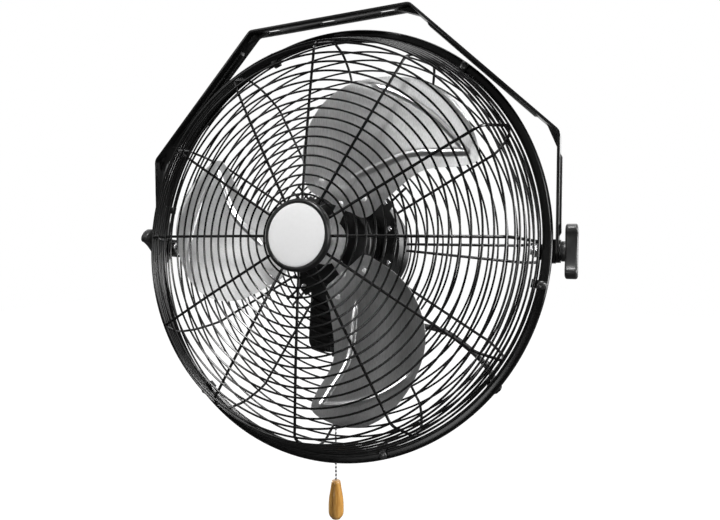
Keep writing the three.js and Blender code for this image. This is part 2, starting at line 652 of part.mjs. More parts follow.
// The spider: a hub plate with three twisted arms that follow the blades' roots from behind.
const SPIDER_FRONT = BLADE_SHEET / 2 + 2 * GAP;
const SPIDER_BACK = SPIDER_FRONT + SPIDER_SHEET;
function spider() {
  const arm = () => {
    const across = [0.2, 0.37, 0.51, 0.66, 0.8];
    const rows = [across.map((u) => new THREE.Vector3(COLLAR_RADIUS, (u - 0.5) * 100, 0))];
    for (let row = 0; row <= SPIDER_ROWS; row += 1) {
      rows.push(across.map((u) => bladeSpot(row / BLADE_ROWS, u)));
    }
    return sheetLoft(rows, SPIDER_FRONT, SPIDER_BACK);
  };
  const hub = revolve(tube(SHAFT_RADIUS + GAP, SPIDER_WAIST, SPIDER_FRONT, SPIDER_BACK), 24);
  const arms = Array.from({ length: BLADES }, (_, i) => arm()
    .rotateY(-degrees(BLADE_START + i * 360 / BLADES)));
  return join(hub, ...arms);
}
addPart(cage, 'spider', spider(), ALUMINIUM);

const COLLAR_START = SPIDER_BACK + GAP;
const COLLAR_END = FRONT_BELL_START - RUNNING_GAP;
const collarTube = tube(SHAFT_RADIUS + GAP, COLLAR_RADIUS, COLLAR_START, COLLAR_END);
addPart(cage, 'hub_collar', revolve(collarTube, 20), ZINC);
const hexagon = (across, hole) => {
  const shape = new THREE.Shape();
  const radius = across / 2 / Math.cos(Math.PI / 6);
  for (let i = 0; i < 6; i += 1) {
    const corner = [radius * Math.cos(i * Math.PI / 3), radius * Math.sin(i * Math.PI / 3)];
    if (i === 0) shape.moveTo(...corner);
    else shape.lineTo(...corner);
  }
  shape.holes.push(new THREE.Path().absarc(0, 0, hole, 0, 2 * Math.PI, true));
  return shape;
};
const SHAFT_NUT_END = SPIDER_FRONT - GAP;
const SHAFT_NUT_START = SHAFT_NUT_END - SHAFT_NUT_HEIGHT;
addPart(cage, 'shaft_nut', plate(hexagon(SHAFT_NUT_ACROSS, SHAFT_RADIUS + GAP), SHAFT_NUT_START,
  SHAFT_NUT_END, 5), ZINC);

// ---------------------------------------------------------------- motor
const REAR_BELL_START = PLATE_START + PLATE_SHEET + GAP;
const REAR_BEARING = REAR_BELL_END - BELL_WALL - 1;
const SHAFT_FRONT = SHAFT_NUT_START - SHAFT_THREAD;
addPart(cage, 'motor_shaft', revolve([[0, SHAFT_FRONT], [SHAFT_RADIUS - 1, SHAFT_FRONT],
  [SHAFT_RADIUS, SHAFT_FRONT + 1], [SHAFT_RADIUS, REAR_BEARING], [0, REAR_BEARING]], 16), STEEL);

// a housing half with a bearing pocket at its closed end, open at its mouth
function bell(radius, closed, mouth, shaftHole) {
  const way = Math.sign(mouth - closed);
  const at = (depth) => closed + way * depth;
  const pocket = BEARING_RADIUS + GAP;
  return revolve([
    [shaftHole, at(0)], [radius - BELL_ROUND, at(0)], [radius - 0.3 * BELL_ROUND, at(0.3 * BELL_ROUND)],
    [radius, at(BELL_ROUND)],
    [radius, mouth], [radius - BELL_WALL, mouth], [radius - BELL_WALL, at(BELL_WALL + 4)],
    [radius - BELL_WALL - 4, at(BELL_WALL)], [pocket + BELL_WALL, at(BELL_WALL)],
    [pocket + BELL_WALL, at(BELL_WALL + BEARING_WIDTH)], [pocket, at(BELL_WALL + BEARING_WIDTH)],
    [pocket, at(BELL_WALL)], [shaftHole, at(BELL_WALL)],
  ], BELL_SIDES);
}
addPart(cage, 'motor_front_bell', bell(FRONT_BELL_RADIUS, FRONT_BELL_START, PLATE_START - GAP,
  SHAFT_RADIUS + 1), BLACK_PAINT);
addPart(cage, 'motor_rear_bell', bell(REAR_BELL_RADIUS, REAR_BELL_END, REAR_BELL_START,
  SHAFT_RADIUS + 1), BLACK_PAINT);
const FRONT_BEARING = FRONT_BELL_START + BELL_WALL + GAP;
function bearing(start) {
  return revolve(tube(SHAFT_RADIUS + GAP, BEARING_RADIUS, start, start + BEARING_WIDTH), 18);
}
addPart(cage, 'front_bearing', bearing(FRONT_BEARING), STEEL);
addPart(cage, 'rear_bearing', bearing(REAR_BELL_END - BELL_WALL - GAP - BEARING_WIDTH), STEEL);

// the mounting plate, with an ear on each diagonal where it is screwed to the rear guard
function mountingPlate() {
  const outline = new THREE.Shape();
  const earHalf = degrees(7);
  for (let i = 0; i < 4; i += 1) {
    const middle = degrees(45 + i * 90);
    const [from, to] = [polar(EAR_REACH, middle - earHalf, 0), polar(EAR_REACH, middle + earHalf, 0)];
    if (i === 0) outline.moveTo(from.x, from.z);
    else outline.lineTo(from.x, from.z);
    outline.lineTo(to.x, to.z);
    outline.absarc(0, 0, PLATE_RADIUS, middle + earHalf * 1.3, middle + Math.PI / 2 - earHalf * 1.3, false);
  }
  outline.holes.push(new THREE.Path().absarc(0, 0, FRONT_BELL_RADIUS - BELL_WALL, 0, 2 * Math.PI, true));
  return plate(outline, PLATE_START, PLATE_START + PLATE_SHEET, 7);
}
addPart(cage, 'motor_mount_plate', mountingPlate(), BLACK_PAINT);

const STATOR_END = STATOR_START + STATOR_LENGTH;
const STATOR_OUTER = (REAR_BELL_RADIUS - BELL_WALL) * Math.cos(Math.PI / BELL_SIDES) - GAP;
const STATOR_BORE = STATOR_OUTER - STATOR_WIDTH;
const CORE_RADIUS = STATOR_BORE - AIR_GAP;
const statorTube = tube(STATOR_BORE, STATOR_OUTER, STATOR_START, STATOR_END);
addPart(cage, 'stator', revolve(statorTube, 20), STEEL);
const winding = (start, end) => revolve([[STATOR_BORE + 3, start], [STATOR_OUTER - 10, start],
  [STATOR_OUTER - 6, (start + end) / 2], [STATOR_OUTER - 10, end], [STATOR_BORE + 3, end]], 16);
const FRONT_WINDING_END = STATOR_START - GAP;
const REAR_WINDING_START = STATOR_END + GAP;
addPart(cage, 'front_winding', winding(FRONT_WINDING_END - WINDING_REACH, FRONT_WINDING_END), COPPER);
addPart(cage, 'rear_winding', winding(REAR_WINDING_START, REAR_WINDING_START + WINDING_REACH), COPPER);
const coreTube = tube(SHAFT_RADIUS + GAP, CORE_RADIUS, STATOR_START - 2, STATOR_END + 2);
addPart(cage, 'rotor_core', revolve(coreTube, 20), STEEL);

// ---------------------------------------------------------------- switch box
const bellClearance = () => revolve(rod(REAR_BELL_RADIUS + GAP, BOX_FRONT - 10, BOX_BACK + 20), 56);
function boxOutline(inset) {
  const shape = new THREE.Shape();
  const [left, right] = [BOX_LEFT + inset, BOX_RIGHT - inset];
  const bottom = BOX_BOTTOM + inset;
  const r = BOX_CORNER - inset;
  shape.moveTo(left, BOX_TOP + 20).lineTo(left, bottom + r);
  shape.absarc(left + r, bottom + r, r, Math.PI, 1.5 * Math.PI, false);
  shape.absarc(right - r, bottom + r, r, 1.5 * Math.PI, 2 * Math.PI, false);
  shape.lineTo(right, BOX_TOP + 20);
  return shape;
}
function switchBox() {
  const outside = plate(boxOutline(0), BOX_FRONT, BOX_BACK, 4);
  const inside = plate(boxOutline(BOX_WALL), BOX_FRONT + BOX_WALL, BOX_BACK + 1, 3);
  const roof = REAR_BELL_RADIUS + GAP + BOX_WALL;
  const roomUnderBell = revolve(rod(roof, BOX_FRONT - 10, BOX_BACK + 20), 40);
  const room = toSolid(inside).subtract(toSolid(roomUnderBell));
  const leadHole = revolveX(rod(LEAD_RADIUS + 1.5, BOX_RIGHT - 8, BOX_RIGHT + 8), 10)
    .translate(0, LEAD_EXIT.y, LEAD_EXIT.z);
  const pullHole = revolveZ(rod(STEM_RADIUS + 1.5, BOX_BOTTOM - 5, BOX_BOTTOM + 8), 10)
    .translate(PULL_X, PULL_BACK, 0);
  const body = toSolid(outside).subtract(toSolid(bellClearance())).subtract(room)
    .subtract(toSolid(leadHole)).subtract(toSolid(pullHole));
  return toGeometry(body);
}
addPart(cage, 'switch_box', switchBox(), BLACK_PLASTIC);
const COVER_START = BOX_BACK + GAP;
addPart(cage, 'switch_box_cover', cut(plate(boxOutline(0), COVER_START, COVER_START + COVER_SHEET, 4),
  bellClearance()), BLACK_PLASTIC);
const SWITCH_FLOOR = BOX_BOTTOM + BOX_WALL + GAP;
const SWITCH_TOP = SWITCH_FLOOR + SWITCH_HEIGHT;
const STEM_BORE = STEM_RADIUS + GAP;
addPart(cage, 'pull_switch', cut(box(PULL_X - SWITCH_HALF, PULL_X + SWITCH_HALF, PULL_BACK - SWITCH_HALF,
  PULL_BACK + SWITCH_HALF, SWITCH_FLOOR, SWITCH_TOP),
  revolveZ(rod(STEM_BORE, SWITCH_FLOOR - 2, SWITCH_FLOOR + STEM_INSIDE + 2), 10)
    .translate(PULL_X, PULL_BACK, 0)), BLACK_PLASTIC);
addPart(cage, 'run_capacitor', box(0, BOX_RIGHT - BOX_CORNER, BOX_FRONT + BOX_WALL + GAP,
  BOX_BACK - SWITCH_HALF, SWITCH_FLOOR, SWITCH_TOP), BLACK_PLASTIC);

// ---------------------------------------------------------------- pull chain
const NOZZLE_TOP = BOX_BOTTOM - GAP;
const NOZZLE_END = NOZZLE_TOP - NOZZLE_LENGTH;
addPart(cage, 'switch_nozzle', revolveZ(tube(STEM_BORE, NOZZLE_RADIUS, NOZZLE_END, NOZZLE_TOP), 12)
  .translate(PULL_X, PULL_BACK, 0), ZINC);
const STEM_END = NOZZLE_END - STEM_SHOWING;
addPart(cage, 'pull_stem', revolveZ(rod(STEM_RADIUS, STEM_END, SWITCH_FLOOR + STEM_INSIDE), 10)
  .translate(PULL_X, PULL_BACK, 0), ZINC);

// The chain hangs plumb from the stem's end, whatever way the head is tilted at rest.
fan.updateMatrixWorld(true);
const hanging = new THREE.Group();
hanging.position.copy(cage.localToWorld(new THREE.Vector3(PULL_X, PULL_BACK, STEM_END)));
fan.add(hanging);
function beadChain() {
  const profile = [[0, -CHAIN_GAP]];
  const beads = Math.round(CHAIN_LENGTH / BEAD_PITCH);
  const pitch = CHAIN_LENGTH / beads;
  for (let i = 0; i < beads; i += 1) {
    const top = -CHAIN_GAP - i * pitch;
    profile.push([LINK_RADIUS, top], [BEAD_RADIUS, top - pitch / 2]);
  }
  const end = -CHAIN_GAP - CHAIN_LENGTH;
  profile.push([LINK_RADIUS, end], [0, end]);
  return revolveZ(profile, 6);
}
addPart(hanging, 'bead_chain', beadChain(), ZINC);
function pullHandle() {
  const top = -CHAIN_GAP - CHAIN_LENGTH - GAP;
  const profile = [[0, top], [HANDLE_TOP_RADIUS, top]];
  // shares of the handle's full radius and of its length
  const swell = [[HANDLE_TOP_RADIUS / HANDLE_RADIUS, 0], [0.72, 0.2], [0.93, 0.45], [1, 0.7], [0.93, 0.88],
    [0.6, 0.975]];
  const outline = new THREE.CatmullRomCurve3(swell.map(([wide, along]) => (
    new THREE.Vector3(wide * HANDLE_RADIUS, top - along * HANDLE_LENGTH, 0))));
  profile.push(...outline.getPoints(9).slice(1).map((point) => [point.x, point.y]));
  profile.push([0, top - HANDLE_LENGTH]);
  return revolveZ(profile, 14);
}
addPart(hanging, 'pull_handle', pullHandle(), OAK);

// ---------------------------------------------------------------- motor lead
const leadAngle = degrees(LEAD_ANGLE);
const reliefSpot = polar(RING_RADIUS - RING_WIDTH / 2, leadAngle, RING_DEPTH + GAP + RELIEF_LENGTH);
const GLAND_END = BOX_RIGHT + GAP + GLAND_LENGTH;
const LEAD_BORE = LEAD_RADIUS + LEAD_CLEARANCE;
addPart(cage, 'lead_gland', revolveX(tube(LEAD_BORE, GLAND_RADIUS, BOX_RIGHT + GAP, GLAND_END), 12)
  .translate(0, LEAD_EXIT.y, LEAD_EXIT.z), BLACK_PLASTIC);
const leadRoute = new THREE.CatmullRomCurve3([
  new THREE.Vector3(BOX_RIGHT - BOX_WALL - 4, LEAD_EXIT.y, LEAD_EXIT.z),
  new THREE.Vector3(BOX_RIGHT + 2, LEAD_EXIT.y, LEAD_EXIT.z),
  new THREE.Vector3(GLAND_END + 1, LEAD_EXIT.y, LEAD_EXIT.z),
  new THREE.Vector3(84, 76, -100),
  new THREE.Vector3(112, 68.5, -101),
  new THREE.Vector3(142, 68, -107),
  new THREE.Vector3(166, 68, -121),
  new THREE.Vector3(186, 65, -136),
  new THREE.Vector3(200, 53, -148),
  reliefSpot.clone().add(new THREE.Vector3(-3, 13, 2.3)),
  reliefSpot.clone().add(new THREE.Vector3(0, 2, 0)),
  reliefSpot.clone().add(new THREE.Vector3(0, -RELIEF_LENGTH / 2, 0)),
]);
const leadSection = new THREE.Shape(Array.from({ length: 8 }, (_, i) => new THREE.Vector2(
  LEAD_RADIUS * Math.cos(i * Math.PI / 4), LEAD_RADIUS * Math.sin(i * Math.PI / 4))));
addPart(cage, 'motor_lead', new THREE.ExtrudeGeometry(leadSection,
  { steps: 22, extrudePath: leadRoute, bevelEnabled: false }), BLACK_PLASTIC);
addPart(cage, 'lead_relief', revolve(tube(LEAD_BORE, RELIEF_RADIUS, 0, RELIEF_LENGTH), 12)
  .translate(reliefSpot.x, RING_DEPTH + GAP, reliefSpot.z), BLACK_PLASTIC);

// ---------------------------------------------------------------- tilt pivots and knobs
function knobOutline() {
  const [end, waist, length] = [KNOB_END / 2, KNOB_WAIST / 2, KNOB_LENGTH / 2];
  const shape = new THREE.Shape();
  shape.moveTo(-waist, 0);
  shape.quadraticCurveTo(-waist, length * 0.5, -end, length * 0.72);
  shape.quadraticCurveTo(-end, length, 0, length);
  shape.quadraticCurveTo(end, length, end, length * 0.72);
  shape.quadraticCurveTo(waist, length * 0.5, waist, 0);
  shape.quadraticCurveTo(waist, -length * 0.5, end, -length * 0.72);
  shape.quadraticCurveTo(end, -length, 0, -length);
  shape.quadraticCurveTo(-end, -length, -end, -length * 0.72);
  shape.quadraticCurveTo(-waist, -length * 0.5, -waist, 0);
  return shape;
}

for (const [name, side, turn] of [['right', 1, 0], ['left', -1, LEFT_KNOB_TURN]]) {
  // everything here lies along X from the ring outward, at the tilt axis
  const mirror = (x0, x1) => (side > 0 ? [x0, x1] : [-x1, -x0]);
  const across = (from, to, maker) => {
    const [x0, x1] = mirror(from, to);
    return maker(x0, x1);
  };
  const ringBack = RING_DEPTH - PIVOT_BACK;
  const hole = (from, to) => across(from - 5, to + 5, (x0, x1) => revolveX(rod(BOLT_HOLE, x0, x1), 12));
  const plateStart = RING_BORE - PLATE_OVERHANG;
  const blockStart = RING_BORE + 2 * GAP;
  const plateEnd = blockStart - GAP;
  const plateFront = ringBack + 2 * GAP;
  const besideSpoke = SPOKE_WIDTH / 2 + PLATE_ROOM;
  const plateBottom = PAIR_LOW_RIM + PIVOT_BELOW + besideSpoke;
  const plateTop = PAIR_HIGH_RIM + PIVOT_BELOW - besideSpoke;
  addPart(head, `${name}_pivot_plate`, cut(across(plateStart, plateEnd,
    (x0, x1) => box(x0, x1, plateFront, plateFront + PLATE_DEPTH, plateBottom, plateTop)),
    hole(plateStart, plateEnd)), BLACK_PAINT);
  const blockEnd = ARM_INSIDE - GAP;
  const blockFront = ringBack + GAP;
  addPart(head, `${name}_pivot_block`, cut(across(blockStart, blockEnd,
    (x0, x1) => box(x0, x1, blockFront, blockFront + BLOCK_DEPTH, -BLOCK_HEIGHT / 2, BLOCK_HEIGHT / 2)),
    hole(blockStart, blockEnd)), BLACK_PAINT);
  const washerStart = ARM_OUTSIDE + GAP;
  const knobStart = washerStart + WASHER_THICK + GAP;
  const wingStart = knobStart + BOSS_LENGTH;
  const boltEnd = wingStart + KNOB_THICK - KNOB_FLOOR;
  const nutEnd = plateStart - GAP;
  addPart(head, `${name}_pivot_bolt`, across(nutEnd - NUT_HEIGHT - NUT_THREAD, boltEnd,
    (x0, x1) => revolveX(rod(BOLT_RADIUS, x0, x1), 12)), ZINC);
  addPart(head, `${name}_pivot_nut`, across(nutEnd - NUT_HEIGHT, nutEnd,
    (x0, x1) => plate(hexagon(NUT_ACROSS, BOLT_HOLE), 0, NUT_HEIGHT, 4).rotateZ(-Math.PI / 2)
      .translate(x0, 0, 0)), ZINC);
  addPart(head, `${name}_washer`, across(washerStart, washerStart + WASHER_THICK,
    (x0, x1) => revolveX(tube(BOLT_HOLE, WASHER_RADIUS, x0, x1), 20)), BLACK_PAINT);
  const wing = across(wingStart, wingStart + KNOB_THICK, (x0, x1) => new THREE.ExtrudeGeometry(
    knobOutline(), { depth: x1 - x0, bevelEnabled: false, curveSegments: 3 })
    .rotateX(Math.PI / 2).rotateZ(Math.PI / 2).rotateX(turn).translate(x0, 0, 0));
  const boss = across(knobStart, wingStart + 1, (x0, x1) => revolveX(rod(BOSS_RADIUS, x0, x1), 16));
  const bore = across(knobStart - 1, boltEnd + GAP, (x0, x1) => revolveX(rod(BOLT_HOLE, x0, x1), 12));
  const knob = toSolid(boss).add(toSolid(wing)).subtract(toSolid(bore));
  addPart(head, `${name}_knob`, toGeometry(knob), BLACK_PLASTIC);
}

export default fan;
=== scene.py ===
"""Looks of the wall mounted fan: finishes, round wires, pressed blades, fasteners and studio."""

import json
import logging
import math
from dataclasses import dataclass, field
from enum import Enum
from typing import Callable, Iterable, Sequence

import bmesh
import bpy
from mathutils import Matrix, Vector

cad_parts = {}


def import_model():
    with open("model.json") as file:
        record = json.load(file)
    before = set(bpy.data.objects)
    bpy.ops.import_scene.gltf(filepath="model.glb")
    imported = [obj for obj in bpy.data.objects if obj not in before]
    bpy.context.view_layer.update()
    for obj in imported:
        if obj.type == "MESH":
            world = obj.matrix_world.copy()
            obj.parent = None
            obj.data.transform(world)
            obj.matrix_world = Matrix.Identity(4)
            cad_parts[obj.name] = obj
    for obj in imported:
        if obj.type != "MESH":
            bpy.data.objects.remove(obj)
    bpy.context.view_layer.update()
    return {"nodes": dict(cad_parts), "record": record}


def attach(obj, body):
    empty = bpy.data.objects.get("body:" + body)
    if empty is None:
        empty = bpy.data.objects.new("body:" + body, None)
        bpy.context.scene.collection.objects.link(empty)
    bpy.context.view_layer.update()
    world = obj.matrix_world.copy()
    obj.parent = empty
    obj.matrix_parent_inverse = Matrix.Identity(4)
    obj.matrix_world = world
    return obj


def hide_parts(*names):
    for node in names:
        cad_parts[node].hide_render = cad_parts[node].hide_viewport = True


log = logging.getLogger("fan")

MM = 0.001
Point = tuple[float, float, float]

# how the head sits on the yoke, as in the model, in millimetres and radians
PIVOT_DROP = 286.5
REST_TILT = 0.1148
PIVOT_BACK = 15.5
PIVOT_BELOW = 8.5

FRONT = Vector((0, -1, 0))
BACK = Vector((0, 1, 0))

ROW = Matrix.Scale(MM, 4)
HEAD = ROW @ Matrix.Translation((0, 0, -PIVOT_DROP)) @ Matrix.Rotation(-REST_TILT, 4, "X")
CAGE = HEAD @ Matrix.Translation((0, -PIVOT_BACK, PIVOT_BELOW))


class Body(Enum):
    """The rigid bodies that a piece can ride on."""

    BRACKET = "bracket"
    HEAD = "head"
    ROTOR = "rotor"
    RIGHT_KNOB = "right_knob"
    LEFT_KNOB = "left_knob"
    PULL = "pull"
    CHAIN = "chain"


class Slot(Enum):
    """The record's material slots."""

    ENAMEL = "black_enamel"
    PAINT = "black_paint"
    ALUMINIUM = "aluminium_sheet"
    ZINC = "zinc"
    STEEL = "steel"
    COPPER = "copper"
    WHITE = "white_plastic"
    PLASTIC = "black_plastic"
    OAK = "oak"
    LEAD = "lead_rubber"


# ---------------------------------------------------------------- finishes
FINE_OCTAVES = 4.0
BROAD_OCTAVES = 3.0
COLOUR_SPREAD = (0.12, 0.42)    # the noise product's values for the dark and the light colour
GLOSS_SPREAD = (0.3, 0.7)       # the broad noise's values for the lowest and highest roughness
BUMP_STRENGTH = 0.6


@dataclass(frozen=True)
class Finish:
    """A surface with fine procedural variation in colour, gloss and relief.

    Fields: slot is the record's slot, dark and light bound the colour, rough_low and rough_high
    bound the roughness, metallic, coat, coat_rough and ior set the shader, grain and wear are the
    fine and the broad noise's scale per metre, stretch their scale along X, Y and Z, relief the
    bump's height in metres, and label ends the material's name.
    """

    slot: Slot
    dark: Point
    light: Point
    rough_low: float
    rough_high: float
    metallic: float = 0.0
    coat: float = 0.0
    coat_rough: float = 0.1
    ior: float = 1.5
    grain: float = 600.0
    stretch: Point = (1.0, 1.0, 1.0)
    relief: float = 0.00003
    wear: float = 12.0
    label: str = "finish"

    def material(self) -> bpy.types.Material:
        """Make the finish's material, or give the one already made.

        Returns:
            The node material.
        """
        name = f"{self.slot.value}_{self.label}"
        known = bpy.data.materials.get(name)
        if known:
            return known
        made = bpy.data.materials.new(name)
        made.use_nodes = True
        tree = made.node_tree
        shader = tree.nodes["Principled BSDF"]
        shader.inputs["Metallic"].default_value = self.metallic
        shader.inputs["Coat Weight"].default_value = self.coat
        shader.inputs["Coat Roughness"].default_value = self.coat_rough
        shader.inputs["IOR"].default_value = self.ior
        place = tree.nodes.new("ShaderNodeTexCoord")
        spread = tree.nodes.new("ShaderNodeMapping")
        spread.inputs["Scale"].default_value = self.stretch
        tree.links.new(place.outputs["Object"], spread.inputs["Vector"])
        fine = self.noise(tree, spread, self.grain, FINE_OCTAVES)
        broad = self.noise(tree, spread, self.wear, BROAD_OCTAVES)
        both = tree.nodes.new("ShaderNodeMath")
        both.operation = "MULTIPLY"
        tree.links.new(fine.outputs["Fac"], both.inputs[0])
        tree.links.new(broad.outputs["Fac"], both.inputs[1])
        ramp = tree.nodes.new("ShaderNodeValToRGB")
        stops = zip(ramp.color_ramp.elements, COLOUR_SPREAD, (self.dark, self.light))
        for element, position, colour in stops:
            element.position = position
            element.color = (*colour, 1)
        tree.links.new(both.outputs["Value"], ramp.inputs["Fac"])
        tree.links.new(ramp.outputs["Color"], shader.inputs["Base Color"])
        gloss = tree.nodes.new("ShaderNodeMapRange")
        gloss.inputs["From Min"].default_value, gloss.inputs["From Max"].default_value = GLOSS_SPREAD
        gloss.inputs["To Min"].default_value = self.rough_low
        gloss.inputs["To Max"].default_value = self.rough_high
        tree.links.new(broad.outputs["Fac"], gloss.inputs["Value"])
        tree.links.new(gloss.outputs["Result"], shader.inputs["Roughness"])
        bump = tree.nodes.new("ShaderNodeBump")
        bump.inputs["Distance"].default_value = self.relief
        bump.inputs["Strength"].default_value = BUMP_STRENGTH
        tree.links.new(fine.outputs["Fac"], bump.inputs["Height"])
        tree.links.new(bump.outputs["Normal"], shader.inputs["Normal"])
        return made

    @staticmethod
    def noise(tree: bpy.types.NodeTree, spread: bpy.types.Node, scale: float,
              detail: float) -> bpy.types.Node:
        """Add a noise texture.

        Args:
            tree: the material's node tree.
            spread: the mapping node that feeds it.
            scale: noise cells per metre.
            detail: octaves.

        Returns:
            The noise node.
        """
        node = tree.nodes.new("ShaderNodeTexNoise")
        node.inputs["Scale"].default_value = scale
        node.inputs["Detail"].default_value = detail
        tree.links.new(spread.outputs["Vector"], node.inputs["Vector"])
        return node


BLACK_ENAMEL = Finish(Slot.ENAMEL, (0.0015, 0.0015, 0.0015), (0.005, 0.005, 0.005), 0.16, 0.3,
                      ior=1.42, grain=350, relief=0.00002)
BLACK_PAINT = Finish(Slot.PAINT, (0.001, 0.001, 0.001), (0.004, 0.004, 0.004), 0.24, 0.36,
                     ior=1.42, grain=2200, relief=0.00005)
BLACKED_SCREW = Finish(Slot.PAINT, (0.06, 0.06, 0.06), (0.15, 0.15, 0.15), 0.2, 0.34, metallic=0.8,
                       grain=900, label="screw_finish")
CHAIN_NICKEL = Finish(Slot.ZINC, (0.1, 0.1, 0.1), (0.34, 0.34, 0.34), 0.2, 0.34, metallic=0.9,
                      grain=900, relief=0.00001, label="chain_finish")
RIVET = Finish(Slot.ZINC, (0.75, 0.75, 0.75), (0.95, 0.95, 0.95), 0.4, 0.55, metallic=0.4, grain=900,
               relief=0.00001, label="rivet_finish")
ALUMINIUM = Finish(Slot.ALUMINIUM, (0.56, 0.56, 0.56), (0.9, 0.9, 0.9), 0.28, 0.38,
                   metallic=0.95, grain=1500, stretch=(1.0, 1.0, 0.06), relief=0.00004, wear=14)
ZINC = Finish(Slot.ZINC, (0.5, 0.5, 0.51), (0.78, 0.78, 0.79), 0.18, 0.32, metallic=1.0,
              grain=900, relief=0.00001)
STEEL = Finish(Slot.STEEL, (0.32, 0.32, 0.33), (0.52, 0.52, 0.53), 0.22, 0.38, metallic=1.0,
               grain=500, stretch=(1.0, 8.0, 1.0))
COPPER = Finish(Slot.COPPER, (0.35, 0.13, 0.05), (0.66, 0.3, 0.14), 0.3, 0.5, metallic=0.9,
                grain=700, stretch=(1.0, 6.0, 1.0), relief=0.0001)
WHITE = Finish(Slot.WHITE, (0.93, 0.93, 0.93), (0.97, 0.97, 0.97), 0.28, 0.36, coat=0.3,
               grain=300, relief=0.00001)
PLASTIC = Finish(Slot.PLASTIC, (0.004, 0.004, 0.004), (0.014, 0.014, 0.014), 0.24, 0.38,
                 grain=3000, relief=0.00008)
KNOB_PLASTIC = Finish(Slot.PLASTIC, (0.014, 0.014, 0.014), (0.036, 0.036, 0.036), 0.24, 0.36,
                      grain=3000, relief=0.00008, label="knob_finish")
OAK = Finish(Slot.OAK, (0.34, 0.15, 0.025), (0.74, 0.42, 0.11), 0.22, 0.32, coat=0.6,
             coat_rough=0.12, grain=420, stretch=(1.0, 1.0, 0.09), relief=0.00004, wear=60)
LEAD = Finish(Slot.LEAD, (0.008, 0.008, 0.008), (0.02, 0.02, 0.02), 0.45, 0.6, grain=1500)
FINISHES = {finish.slot.value: finish for finish in (
    BLACK_ENAMEL, BLACK_PAINT, ALUMINIUM, ZINC, STEEL, COPPER, WHITE, PLASTIC, OAK, LEAD)}


# ---------------------------------------------------------------- mesh making
WELD = 2e-6         # metres, vertices nearer than this become one
EASED_OVER = 28     # degrees, edges over this are rounded


def polar(radius: float, degrees: float, y: float) -> Vector:
    """Give a point round the fan's axis, turning up from the right, in millimetres."""
    angle = math.radians(degrees)
    return Vector((radius * math.cos(angle), y, radius * math.sin(angle)))


def smooth_path(points: Sequence[Sequence[float]], share: float) -> Vector:
    """Give a point on the centripetal curve through a list of points.

    Args:
        points: the curve's points.
        share: how far along the list, from 0 to 1.

    Returns:
        The point.
    """
    knots = [Vector(p) for p in points]
    last = len(knots) - 1
    place = min(max(share, 0.0), 1.0) * last
    i = min(int(place), last - 1)
    t = place - i
    p1, p2 = knots[i], knots[i + 1]
    p0 = knots[i - 1] if i > 0 else 2 * p1 - p2
    p3 = knots[i + 2] if i + 2 <= last else 2 * p2 - p1
    d0, d1, d2 = (max((b - a).length_squared, 1e-8) ** 0.25 for a, b in ((p0, p1), (p1, p2), (p2, p3)))
    t1 = ((p1 - p0) / d0 - (p2 - p0) / (d0 + d1) + (p2 - p1) / d1) * d1
    t2 = ((p2 - p1) / d1 - (p3 - p1) / (d1 + d2) + (p3 - p2) / d2) * d1
    return (p1 + t1 * t + (3 * (p2 - p1) - 2 * t1 - t2) * t ** 2
            + (2 * (p1 - p2) + t1 + t2) * t ** 3)


